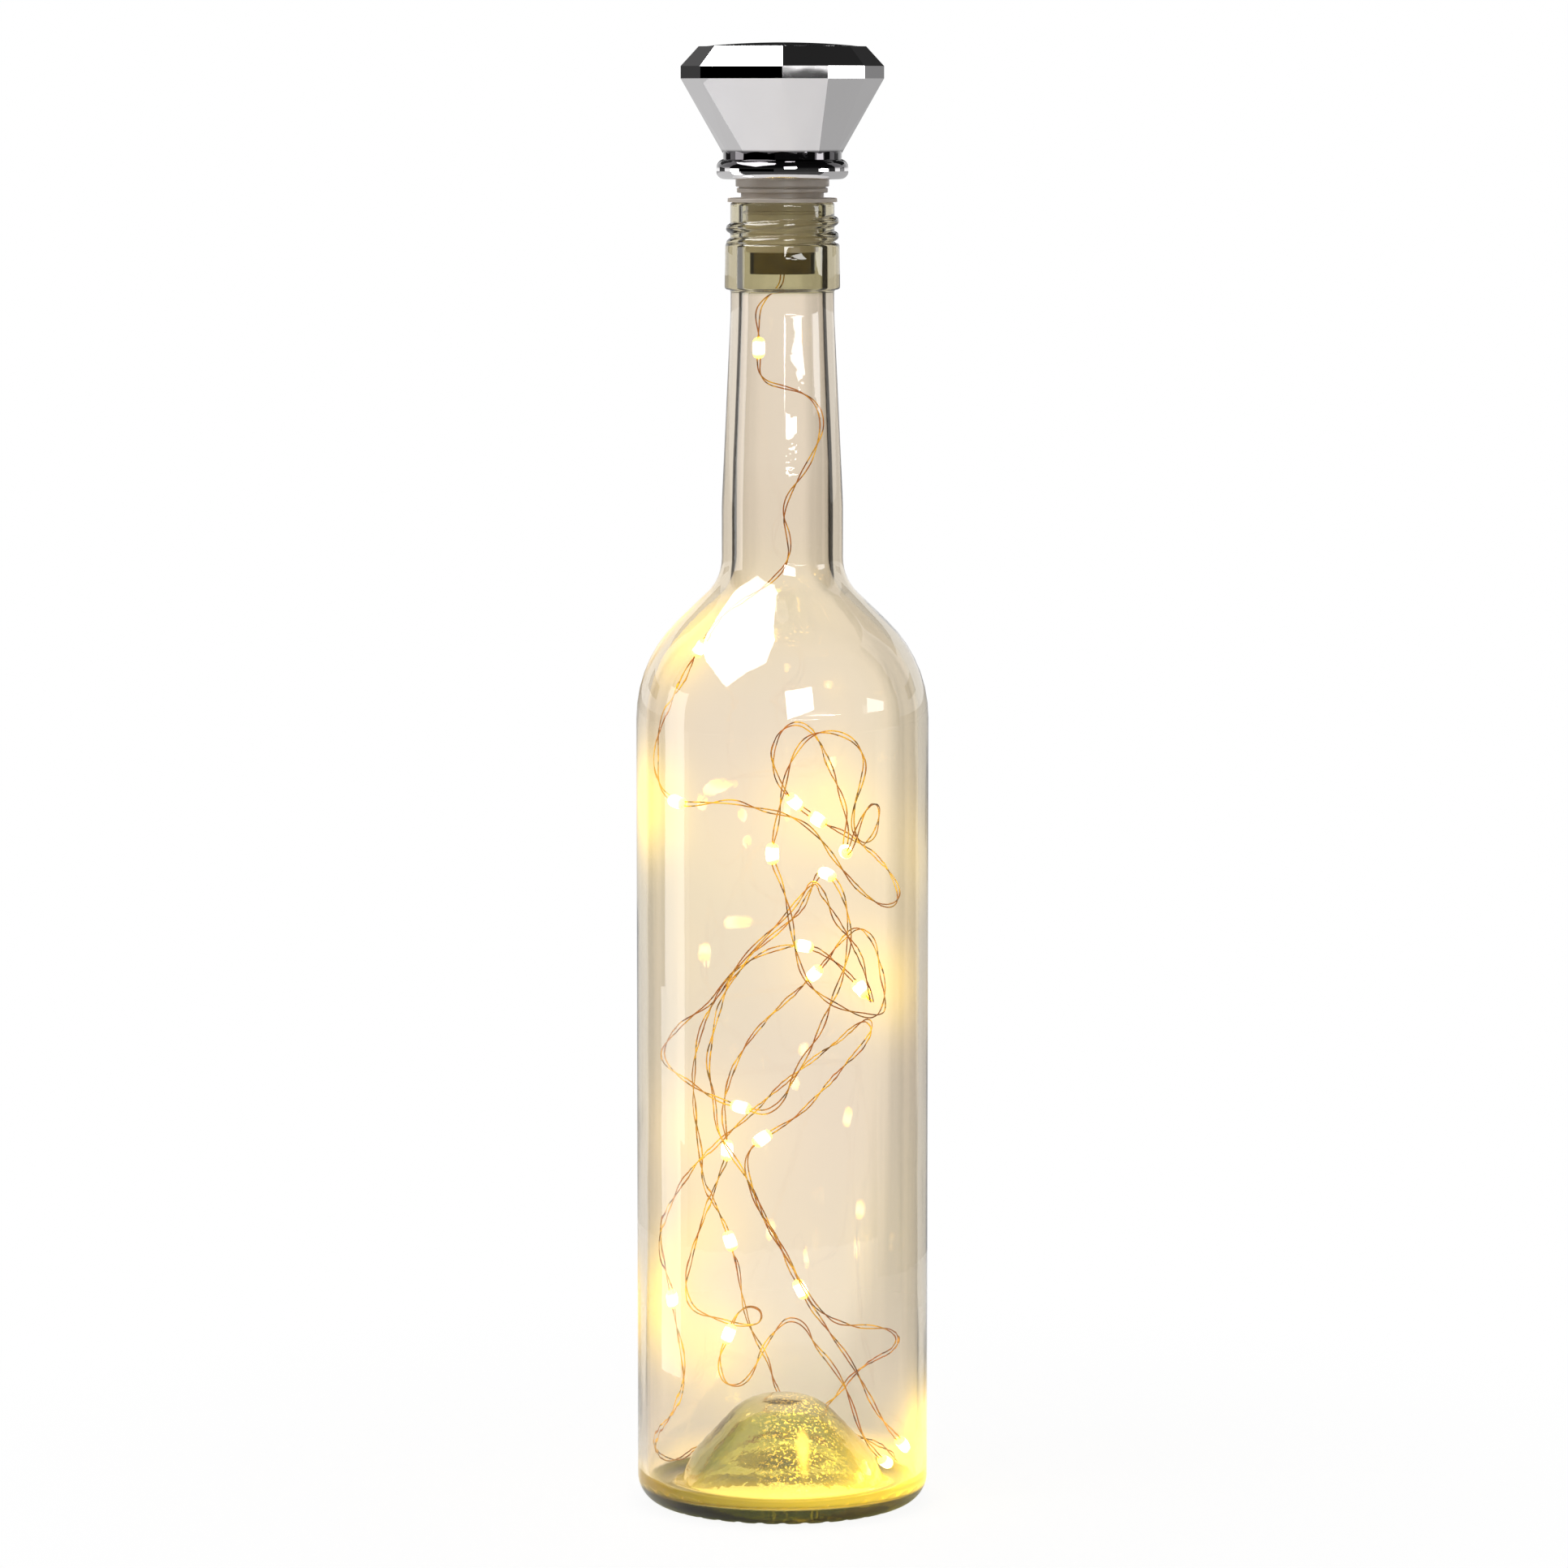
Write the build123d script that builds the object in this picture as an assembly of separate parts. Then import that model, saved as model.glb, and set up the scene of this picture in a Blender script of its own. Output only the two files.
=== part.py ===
from build123d import *
import math
import os

# Sizes are in millimetres and angles in degrees. The bottle stands on the origin with its axis
# along Z, and its front faces minus Y.

# Bottle: one blown glass vessel with a pushed-up base, a long neck and a screw finish. The wall
# and the slope of the shoulder would meet at the shoulder corner, which the shoulder radius rounds.
body_radius = 36.5
body_wall = 2.4
shoulder_corner = 212.8
shoulder_radius = 33.7
shoulder_rise = 20.7
shoulder_wall = 2.6
neck_radius = 15.1
neck_fillet = 12.1
neck_straight = 18.5
neck_taper = 48
neck_top_radius = 12.85
neck_blend = 60
neck_bore_radius = 11.5
bore_radius = 10
bore_taper_setback = 10
bore_taper_overrun = 3
collar_gap = 5.3
collar_height = 11.4
collar_proud = 1.25
collar_flare = 0.15
collar_rounding = 0.7
finish_wall = 2.95
finish_height = 10.2
lip_rounding = 0.8
bore_rounding = 0.5

# Base of the bottle: heel, bearing ring, floor and the raised dome inside.
heel_radius = 7
floor_height = 4.5
floor_rounding = 4.5
floor_width = 7.8
dome_height = 27
dome_side_setback = 3.8
dome_side_height = 12.5
dome_cap_share = 0.4
dome_crown_share = 2 / 3
dome_bend_share = 8 / 15
dome_foot_rounding = 2.5
dome_glass = 4
hollow_cap_setback = 1.4
hollow_side_setback = 2.9
hollow_side_drop = 3.1
bearing_setback = 11.7
bearing_rounding = 1.5

# Knurls: short radial grooves that leave small feet round the bearing ring.
knurl_count = 36
knurl_groove_radius = 1.7
knurl_groove_depth = 0.7
knurl_length = 8.5

# Screw thread on the finish, a single right-handed ridge that fades into the glass.
thread_pitch = 3.7
thread_ridge_radius = 1.15
thread_height = 1.05
thread_drop = 6.5
thread_start_angle = -200
thread_end_angle = 400
thread_fade_angle = 30
thread_fade_depth = 1.35
thread_steps = 12

# Plug sleeve: a clear silicone sleeve with ribs outside the mouth and inside the bore.
sleeve_clearance = 0.3
bore_rib_proud = 0.6
bore_rib_height = 0.9
bore_rib_count = 4
sleeve_wall = 0.95
sleeve_reach = 12.4
sleeve_tip_taper = 0.1
flange_overhang = 0.65
flange_thickness = 1
flange_seat_gap = 0.05
waist_wall = 1.2
waist_height = 1.3
lower_rib_proud = 1
lower_rib_height = 1.2
notch_proud = 0.5
notch_height = 0.3
upper_rib_proud = 1.3
upper_rib_height = 1.85

# Stopper head: a faceted gem in two plated shells on a rounded ring.
facet_count = 14
ring_height = 5
ring_radius = 16.4
ring_upper_rounding = 2.3
ring_lower_rounding = 2
ring_neck_radius = 14.75
ring_neck_height = 3
pavilion_lift = 5.4
pavilion_bottom_radius = 14.2
pavilion_height = 19.4
girdle_radius = 25.75
girdle_height = 3.05
crown_height = 4.85
table_radius = 21.2
shell_wall = 1.5
shell_floor = 3
cap_top_wall = 2.1
cap_flange = 1.2
cap_skirt_depth = 2.2
cap_skirt_setback = 4.05
cap_skirt_wall = 1.2
fit_gap = 0.05

# Solar panel in the table of the gem.
bezel_width = 2.7
seal_width = 1.3
seal_thickness = 0.2
lens_edge = 1
lens_rise = 0.9
lens_seat_depth = 1.1
panel_thickness = 1
cell_margin = 0.65
cell_thickness = 0.25
tab_width = 0.9
tab_thickness = 0.1
tab_spacing = 8

# Battery tube below the head, its end cap and the gland that the wire leaves by.
tube_wall = 0.8
tube_reach = 23.4
tube_flange_width = 3.05
tube_flange = 1.2
flange_clearance = 1.2
end_cap_recess = 0.6
end_cap_thickness = 1.4
gland_radius = 1.5
gland_length = 2.6

# Battery, its carrier and its contacts, stacked upwards from the end of the tube.
carrier_inset = 5.2
carrier_floor = 0.8
carrier_wall = 2
carrier_headroom = 2.2
channel_width = 2.6
channel_overlap = 0.3
wrap_thickness = 0.15
wrap_margin = 0.6
battery_length = 27.4
battery_nub_radius = 2
battery_nub = 1
contact_thickness = 0.4
contact_setback = 0.7
contact_tab_width = 1.6
spring_height = 3
spring_setback = 1.9
spring_wire_radius = 0.3
spring_turns = 2
spring_steps = 8
battery_cap_thickness = 2
battery_cap_recess = 0.8
battery_cap_rim = 0.75

# Circuit board, its screws and its larger components.
board_lift = 2.4
board_thickness = 1
board_gap = 2.73
post_radius = 1.8
post_setback = 2.7
screw_shank_radius = 0.8
screw_head_radius = 1.4
screw_head = 1.2
board_screw_length = 6
tube_screw_length = 3.2
screw_count = 3
driver_size = (4.2, 1.6, 3.2)
driver_leg_size = (0.4, 0.3, 1.2)
driver_leg_spacing = 1.1
inductor_radius = 1.4
inductor_length = 6
capacitor_radius = 2
capacitor_height = 4.4

# Slide switch behind one facet at the back of the gem.
switch_rise = 3.4
switch_knob_size = (1.8, 1.4)
switch_knob_height = 0.8
switch_travel = 2
switch_slot_gap = 0.15
switch_body_size = (6, 3.4, 3)
switch_well_depth = 1.2

# Internal leads.
lead_radius = 0.4
feed_spacing = 0.6
feed_drop = 1.4
panel_lead_spread = 2
panel_lead_gap = 0.83
panel_lead_bow = 1.2
switch_lead_spread = 1.2
switch_lead_stub = 1.8

# Light string: a pair of fine copper wires twisted together, with a lamp on each joining run.
wire_radius = 0.45
drop_length = 5
drop_radius = 1.45
drop_tip_radius = 0.7
chip_size = (1.6, 0.8, 0.6)
chip_lift = 0.05

# Radii that follow from the bore of the bottle, outwards to the finish and inwards to the battery.
finish_radius = bore_radius + finish_wall
collar_radius = finish_radius + collar_proud
inner_radius = body_radius - body_wall
dome_foot_radius = inner_radius - floor_width
dome_side_radius = dome_foot_radius - dome_side_setback
dome_cap_radius = dome_side_radius * dome_cap_share
dome_crown = dome_side_radius * dome_crown_share
dome_bend = dome_side_radius * dome_bend_share
hollow_side_radius = dome_side_radius - hollow_side_setback
hollow_cap_radius = dome_cap_radius - hollow_cap_setback
sleeve_core_radius = bore_radius - sleeve_clearance - bore_rib_proud
waist_radius = sleeve_core_radius + waist_wall
tube_radius = sleeve_core_radius - sleeve_wall
tube_bore_radius = tube_radius - tube_wall
carrier_radius = tube_bore_radius - fit_gap
carrier_bore_radius = carrier_radius - carrier_wall
battery_radius = carrier_bore_radius - fit_gap - wrap_thickness
contact_radius = battery_radius - contact_setback
channel_start = carrier_bore_radius - channel_overlap
feed_reach = (carrier_bore_radius + tube_bore_radius) / 2
tube_flange_radius = tube_radius + tube_flange_width
tube_screw_circle = (tube_radius + tube_flange_radius) / 2
floor_hollow_radius = tube_flange_radius + flange_clearance
lens_radius = table_radius - bezel_width
window_radius = lens_radius - seal_width
cell_side = (window_radius - fit_gap) * math.sqrt(2) - cell_margin
cap_skirt_radius = girdle_radius - cap_skirt_setback

# Heights that follow from the stack of pieces, from the shoulder up to the table of the gem.
neck_bottom = shoulder_corner + shoulder_rise
neck_taper_start = neck_bottom + neck_straight
neck_taper_end = neck_taper_start + neck_taper
collar_bottom = neck_taper_end + collar_gap
collar_top = collar_bottom + collar_height
mouth_height = collar_top + finish_height
flange_bottom = mouth_height + flange_seat_gap
flange_top = flange_bottom + flange_thickness
waist_top = flange_top + waist_height
lower_rib_top = waist_top + lower_rib_height
notch_top = lower_rib_top + notch_height
ring_bottom = notch_top + upper_rib_height
ring_top = ring_bottom + ring_height
floor_top = ring_bottom + shell_floor
pavilion_bottom = ring_bottom + pavilion_lift
girdle_bottom = pavilion_bottom + pavilion_height
girdle_top = girdle_bottom + girdle_height
table_height = girdle_top + crown_height
lens_seat = table_height - lens_seat_depth
lens_bottom = lens_seat + seal_thickness
panel_top = lens_bottom - tab_thickness - cell_thickness - fit_gap
tube_end = ring_bottom - tube_reach
carrier_bottom = tube_end + carrier_inset
carrier_floor_top = carrier_bottom + carrier_floor
lower_contact_top = carrier_floor_top + contact_thickness
battery_bottom = lower_contact_top + spring_height
battery_top = battery_bottom + battery_length
upper_contact_bottom = battery_top + battery_nub
upper_contact_top = upper_contact_bottom + contact_thickness
tube_top = upper_contact_top - battery_cap_recess
carrier_top = tube_top - carrier_headroom
battery_cap_top = tube_top + battery_cap_thickness
board_bottom = battery_cap_top + board_lift
board_top = board_bottom + board_thickness

# The wire from the gland to just under the first lamp, which hangs from the stopper.
lead_points = [
    (0, 0, 309.2), (0, 0, 306.9), (-2.2, -0.3, 304.9), (-4.2, -0.8, 303.3), (-6.3, -1, 300.2),
    (-5.9, 0, 293.8), (-5.9, 0, 287.5),
]

# The wire in the bottle. Each row runs from one lamp to the next, and a lamp sits midway on the
# run that joins two rows.
string_rows = [
    [(-5.9, 0, 287.5), (-5.9, 0, 284.5), (-4, 1.5, 282), (0, 2, 281), (5.5, 1.5, 279.5), (9, 0, 276.5),
     (10, -1.5, 272), (8.5, -2, 266.5), (5.5, -1, 260), (1.5, 0.5, 254), (0, 1.5, 249), (1.5, 2, 244.5),
     (2, 1.5, 239), (-1.5, 2, 233.5), (-7.5, 5, 228.5), (-14.5, 8, 224), (-19.5, 10.5, 218.5)],
    [(-22.5, 11.5, 213.5), (-26, 10, 206.5), (-31, 7, 197.5), (-32.5, 3, 190), (-31, -4, 182.5),
     (-27.5, -8.5, 179)],
    [(-24.5, -11.5, 178), (-19.5, -14, 178.5), (-12, -16.5, 179.5), (-6, -17.5, 177.5), (2, -18, 176),
     (8, -17, 172), (13.5, -14, 163.5), (19.5, -10, 155.5), (26, -5, 151), (30, 1, 153), (28, 7, 158.5),
     (22.5, 12, 164), (15.5, 16, 168), (10.5, 18, 170)],
    [(7.5, 19, 172), (4.5, 18.5, 174)],
    [(1.5, 17.5, 177), (-1.5, 15.5, 181.5), (-3, 13, 187.5), (-1, 11, 194), (4, 10, 197), (9, 9.5, 193),
     (12, 8, 185.5), (14.5, 4, 179.5), (16.5, 0, 173), (15.5, -3.5, 166)],
    [(15.8, -7.5, 165), (17, -10.5, 167), (18.3, -11.5, 171.5), (20.3, -10, 176), (22.3, -8, 178),
     (24, -5.5, 177), (24, -4, 173.5), (23, -4.8, 169.8), (21, -8, 168), (19.5, -12.5, 168),
     (17, -16, 172), (17.5, -16.5, 178.5), (19.5, -15.5, 184), (20.5, -14, 189.5), (17.5, -13, 194.5),
     (12, -12.5, 196.5), (6.5, -13, 195.5), (2.5, -14, 190.5), (0.5, -15, 184), (-1, -15.5, 175.5),
     (-2.5, -15, 168)],
    [(-2.5, -15, 164), (0, -15.5, 158.5), (2, -17, 150.5), (3, -18, 142.5), (5.5, -18.5, 134.5),
     (11.5, -17, 129), (18.5, -13, 125.5), (24.5, -7, 124), (26, -1, 128), (25, 4, 135),
     (23.5, 8, 141.5), (19.5, 11, 145), (15, 14, 141), (10.5, 16.5, 134)],
    [(6.5, 18.5, 130), (1, 20, 124.5), (-7, 20, 117), (-12.5, 18, 108.5), (-15, 15, 100), (-15, 13, 94.5),
     (-14, 11.5, 90)],
    [(-14, 10, 85.5), (-16.5, 10, 80.5), (-19.5, 8, 72.5), (-22.5, 5, 64), (-25, 2, 55), (-23, -2, 49),
     (-16.5, -6, 47.5), (-10.5, -8, 46), (-5.5, -11, 47), (-5, -14.5, 51), (-8, -17.5, 53),
     (-11, -18.5, 51.5), (-12.5, -19, 48)],
    [(-14, -19, 44), (-15.5, -18.5, 40.5), (-15.5, -18, 36.5), (-14, -17.5, 32.8), (-10, -17.5, 32.6),
     (-7, -18, 36.5), (-5, -18, 42), (-1.5, -17.5, 47), (1.5, -17, 49.7), (5.5, -16.5, 48.2),
     (8, -16, 42.5), (12.5, -16, 37.5), (16.5, -15, 30), (19.5, -13, 19), (24, -10, 13)],
    [(27, -6, 10), (29.5, 2, 9.5), (28, 14, 10), (20, 25, 11.5), (8.5, 30.5, 12), (-4, 30.5, 11.5),
     (-15.5, 26, 11), (-22.5, 20, 9.5), (-26.5, 13, 7.5), (-29.5, 7.5, 8.5), (-32.5, 4, 11),
     (-33, 2.5, 15), (-31, 4.5, 18), (-28, 7, 20.5), (-25, 10, 28.5), (-26, 10, 38), (-28, 9, 47)],
    [(-28.5, 7.5, 53), (-31, 5, 60), (-31.5, 4, 68.5), (-28, 6, 76), (-23.5, 9.5, 83), (-16.5, 14, 89),
     (-8, 18, 96), (0, 20.5, 103), (7.5, 21.5, 109), (15.5, 20, 115), (21.5, 16, 121),
     (23.5, 11, 118.5), (19.5, 7.5, 113.5), (15, 4, 109.5), (9.5, -4, 104.5), (4, -9.5, 99.5),
     (-3, -11.5, 95.5)],
    [(-7.5, -12.5, 92.5), (-9.5, -13, 88), (-7, -13.5, 80), (-3.5, -13.5, 72.5), (1, -13.5, 65),
     (5.5, -13.5, 56), (10, -12.5, 49.5), (16.5, -6, 45.5), (23.5, -1, 44.5), (29.5, 5, 42),
     (29.5, 9, 37), (24, 12, 34), (18, 14, 29.5), (13, 16, 22), (7.5, 20, 18), (1.5, 23, 19.5),
     (-2, 22, 24.5), (-3.5, 20, 32), (-8, 18, 39.5), (-10.5, 16, 48.5), (-11.5, 15.5, 57),
     (-13, 16, 61.5)],
    [(-14, 16, 65.5), (-15.5, 17, 69), (-18.5, 19, 74), (-21, 20, 79), (-21, 18, 85.5), (-22.5, 14, 96),
     (-23, 10, 106.5), (-21.5, 8, 117), (-18, 8, 125.5), (-12, 10, 133.5), (-5, 12, 138), (3, 12, 140)],
    [(8.5, 12, 139), (13.5, 12.5, 135.5), (18.5, 13.5, 130.5)],
    [(21.5, 12, 127), (23, 8.5, 125.5), (22.5, 4.5, 127), (21.5, 3, 131.5), (20, 3.5, 137),
     (17.5, 2.5, 142), (13.5, 3, 147), (10.5, 0, 153.5), (8, -5, 158.5), (5.5, -10, 156),
     (0.5, -11.5, 149.5), (-6.5, -12, 143), (-12.5, -12, 136), (-17.5, -11, 128), (-23.5, -8, 124),
     (-27.5, -5, 119.5), (-30, -3.5, 115.5), (-29.5, -3.5, 112), (-26, -6.5, 109.5), (-18.5, -11, 105),
     (-12.5, -14, 103)],
    [(-8, -15.5, 102), (-4, -16, 101), (0.5, -16.5, 104.5), (3, -17, 111.5), (8.5, -16.5, 120),
     (12, -14, 128.5), (15.5, -10, 136.5), (17, -6.5, 145), (15.5, -4, 154), (12.5, -2.5, 159)],
    [(9.5, 0.5, 160), (7.5, 5, 155.5), (4.5, 8.5, 148.5), (-3, 9, 142), (-10, 6, 136.5), (-15, 2, 128.5),
     (-17.5, -1, 119.5), (-19, -3.5, 111.5), (-17, -5, 103), (-16.5, -6, 95.5), (-13, -8, 90),
     (-8.5, -9.5, 83.5), (-5.5, -10, 75), (-1, -9.5, 67.5), (3, -8, 58.5)],
    [(6, -8, 52.5), (11, -8.5, 45.5), (17, -10, 37.5), (20, -10, 31.5), (24.5, -7, 22), (29, -3, 16.5)],
    [(32, -0.5, 12.5)],
]

# Where a tube's arc ends, as a share of the shorter run beside it.
bend_share = 0.45

# Turns and directions seen from above, where the right of the bottle is at 0.
front_angle = -90
back_angle = 90
left_angle = 180
quarter_turn = 90
full_turn = 360


def spun(corners, roundings):
    """Solid of revolution about Z from radius and height corners, the inner ones rounded."""
    points = [(radius, 0, height) for radius, height in corners]
    outline = FilletPolyline(*points, radius=roundings)
    axis_side = Line(outline @ 1, outline @ 0)
    return revolve(make_face(Wire([*outline.edges(), axis_side])), Axis.Z)


def disc(radius, bottom, top, place=(0, 0)):
    """Upright cylinder between two heights."""
    middle = (bottom + top) / 2
    return Pos(place[0], place[1], middle) * Cylinder(radius, top - bottom)


def around(radius, angle):
    """Point on a circle about the axis."""
    turn = math.radians(angle)
    return (radius * math.cos(turn), radius * math.sin(turn))


def three_around(radius, first_angle):
    """Places of the three screws on a circle."""
    return [around(radius, first_angle + full_turn * k / screw_count) for k in range(screw_count)]


def bend_radii(points):
    """Arc radius at each inner point: as large as the two runs beside it allow."""
    radii = []
    for before, here, after in zip(points, points[1:], points[2:]):
        arriving = Vector(*here) - Vector(*before)
        leaving = Vector(*after) - Vector(*here)
        half_turn = math.radians(arriving.get_angle(leaving)) / 2
        radii.append(bend_share * min(arriving.length, leaving.length) / math.tan(half_turn))
    return radii


def tube_along(points, radius):
    """Round tube along straight runs joined by tangent arcs."""
    path = FilletPolyline(*points, radius=bend_radii(points))
    section = Plane(origin=path @ 0, z_dir=path % 0) * Circle(radius)
    return sweep(section, path=path), path


def report_tube(name, points, radius, tube, path):
    """Print the tightest bend and compare the volume with section times length."""
    ideal = math.pi * radius**2 * path.length
    radii = bend_radii(points)
    tight = sorted(round(bend, 2) for bend in radii)[:8]
    print(name, "length", round(path.length, 1), "tightest bends", tight)
    print(name, "volume", round(tube.volume, 2), "section times length", round(ideal, 2))


def helix_points(radius, pitch, start, end, steps, middle, middle_angle):
    """Corners of a helix about Z whose flats touch the given radius."""
    step = full_turn / steps
    corner_radius = radius / math.cos(math.radians(step / 2))
    angles = [start + step * k for k in range(round((end - start) / step) + 1)]
    return [(*around(corner_radius, a), middle + pitch * (a - middle_angle) / full_turn) for a in angles]


def least_self_gap(points, radius):
    """Least gap between two turns of a wound tube, measured on its corner points."""
    gaps = []
    for i, one in enumerate(points):
        for other in points[i + spring_steps - 1:]:
            gaps.append((Vector(*one) - Vector(*other)).length - 2 * radius)
    return min(gaps)


def gem_ring(radius, height, turn_share=0):
    """Corners of one regular ring of the gem, with a corner at the front unless turned."""
    step = full_turn / facet_count
    angles = [front_angle + (k + turn_share) * step for k in range(facet_count)]
    return [(*around(radius, a), height) for a in angles]


def faceted(lower, upper, staggered=False):
    """Closed solid between two rings, with flat four-sided or staggered three-sided facets."""
    count = len(lower)
    loops = [lower[::-1], upper]
    for k in range(count):
        after = (k + 1) % count
        if staggered:
            loops.append([upper[k], lower[k], upper[after]])
            loops.append([lower[k], lower[after], upper[after]])
        else:
            loops.append([lower[k], lower[after], upper[after], upper[k]])
    faces = [Face(Wire(Polyline(*loop, close=True).edges())) for loop in loops]
    return Solid(Shell(faces))


def shoulder_height(radius, inset):
    """Height at which the sloping shoulder, moved inwards, meets a wall of this radius."""
    run = body_radius - neck_radius
    climb = (body_radius - radius) * shoulder_rise / run
    return shoulder_corner + climb - inset * math.hypot(run, shoulder_rise) / run


def make_thread():
    """Ridge of the screw finish, which starts and ends inside the glass."""
    centre = finish_radius + thread_height - thread_ridge_radius
    points = helix_points(centre, thread_pitch, thread_start_angle, thread_end_angle,
                          thread_steps, mouth_height - thread_drop, left_angle)
    first, last = points[0][2], points[-1][2]
    buried = finish_radius - thread_fade_depth
    start = (*around(buried, thread_start_angle - thread_fade_angle), first)
    end = (*around(buried, thread_end_angle + thread_fade_angle), last)
    ridge, path = tube_along([start, *points, end], thread_ridge_radius)
    return ridge


def make_bottle():
    outside = [
        (0, dome_height - dome_glass, None),
        (hollow_cap_radius, dome_height - dome_glass, dome_crown - dome_glass),
        (hollow_side_radius, dome_side_height - hollow_side_drop, dome_bend),
        (body_radius - bearing_setback, 0, bearing_rounding),
        (body_radius, 0, heel_radius),
        (body_radius, shoulder_height(body_radius, 0), shoulder_radius),
        (neck_radius, shoulder_height(neck_radius, 0), neck_fillet),
        (neck_radius, neck_taper_start, neck_blend),
        (neck_top_radius, neck_taper_end, neck_blend),
        (neck_top_radius, collar_bottom, collar_rounding),
        (collar_radius + collar_flare, collar_bottom, collar_rounding),
        (collar_radius, collar_top, collar_rounding),
        (finish_radius, collar_top, collar_rounding),
        (finish_radius, mouth_height, lip_rounding),
    ]
    inside = [
        (bore_radius, mouth_height, bore_rounding),
        (bore_radius, neck_taper_end + bore_taper_overrun, neck_blend),
        (neck_bore_radius, neck_taper_start + bore_taper_setback, neck_blend),
        (neck_bore_radius, shoulder_height(neck_bore_radius, shoulder_wall), neck_fillet + shoulder_wall),
        (inner_radius, shoulder_height(inner_radius, shoulder_wall), shoulder_radius - shoulder_wall),
        (inner_radius, floor_height, floor_rounding),
        (dome_foot_radius, floor_height, dome_foot_rounding),
        (dome_side_radius, dome_side_height, dome_bend),
        (dome_cap_radius, dome_height, dome_crown),
        (0, dome_height, None),
    ]
    table = outside + inside
    corners = [(radius, height) for radius, height, rounding in table]
    glass = spun(corners, [rounding for radius, height, rounding in table[1:-1]])
    groove = Cylinder(knurl_groove_radius, knurl_length, rotation=(0, quarter_turn, 0))
    groove_middle = body_radius - knurl_length / 2
    groove = Pos(groove_middle, 0, knurl_groove_depth - knurl_groove_radius) * groove
    grooves = [Rot(0, 0, full_turn * k / knurl_count) * groove for k in range(knurl_count)]
    return glass + make_thread() - grooves


def pavilion(inset, bottom):
    """The gem below its girdle, or its hollow when inset."""
    lower = gem_ring(pavilion_bottom_radius - inset, bottom, 0.5)
    return faceted(lower, gem_ring(girdle_radius - inset, girdle_bottom), staggered=True)


def switch_plane():
    """Plane on the back facet at the middle of the switch, facing outwards, its Y up the facet."""
    half_step = math.radians(full_turn / facet_count / 2)
    foot = Vector(0, pavilion_bottom_radius * math.cos(half_step), pavilion_bottom)
    tip = Vector(0, girdle_radius, girdle_bottom)
    upward = (tip - foot).normalized()
    outward = upward.cross(Vector(1, 0, 0))
    return Plane(origin=foot + upward * switch_rise, x_dir=(-1, 0, 0), z_dir=outward)


def wall_depth():
    """Thickness of the gem's side wall, square to a facet."""
    reach = girdle_radius - pavilion_bottom_radius
    return shell_wall * pavilion_height / math.hypot(pavilion_height, reach)


def hollow_radius_at(height):
    """Least radius of the gem's hollow at a height below the girdle."""
    low = pavilion_bottom_radius - shell_wall
    high = (girdle_radius - shell_wall) * math.cos(math.radians(full_turn / facet_count / 2))
    return low + (high - low) * (height - pavilion_bottom) / pavilion_height


def board_radius():
    """Radius of the circuit board, which clears the hollow where it lies."""
    return hollow_radius_at(board_bottom) - board_gap


def switch_block(size, gap=0):
    """Block of the switch body behind the wall."""
    width, height, depth = size
    middle = -(wall_depth() + fit_gap + depth / 2)
    block = Box(width + 2 * gap, height + 2 * gap, depth + 2 * gap)
    return switch_plane() * Pos(0, 0, middle) * block


def switch_slot(depth_from, depth_to):
    """Slot that the knob slides in, between two depths below the facet."""
    width = switch_knob_size[0] + switch_travel + 2 * switch_slot_gap
    height = switch_knob_size[1] + 2 * switch_slot_gap
    slot = Box(width, height, depth_to - depth_from)
    return switch_plane() * Pos(0, 0, -(depth_from + depth_to) / 2) * slot


def make_switch_body():
    face = wall_depth() + fit_gap
    return switch_block(switch_body_size) - switch_slot(0, face + switch_well_depth)


def make_switch_knob():
    reach = wall_depth() + fit_gap + switch_well_depth - switch_slot_gap
    height = reach + switch_knob_height
    knob = Box(*switch_knob_size, height)
    grip = fillet(knob.edges().group_by(Axis.Z)[-1], switch_slot_gap)
    return switch_plane() * Pos(switch_travel / 2, 0, switch_knob_height - height / 2) * grip


def make_head_shell():
    ring = spun(
        [(0, ring_bottom), (ring_radius, ring_bottom), (ring_radius, ring_top), (0, ring_top)],
        [ring_lower_rounding, ring_upper_rounding],
    )
    gem = pavilion(0, pavilion_bottom)
    shell = gem + ring + disc(ring_neck_radius, floor_top, ring_top + ring_neck_height)
    shell -= pavilion(shell_wall, pavilion_bottom)
    shell -= disc(floor_hollow_radius, floor_top, pavilion_bottom + fit_gap)
    posts = [disc(post_radius, pavilion_bottom, board_bottom, place) for place in board_screw_places()]
    shell += [post & gem for post in posts]
    for place in board_screw_places():
        shell -= disc(screw_shank_radius, board_top - board_screw_length, board_bottom, place)
    for place in tube_screw_places():
        shell -= disc(screw_shank_radius, floor_top - tube_screw_length + tube_flange, floor_top, place)
    shell -= disc(tube_radius, ring_bottom, floor_top)
    shell -= switch_slot(-switch_knob_height, wall_depth() + fit_gap)
    return shell - switch_block(switch_body_size, fit_gap)


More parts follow.
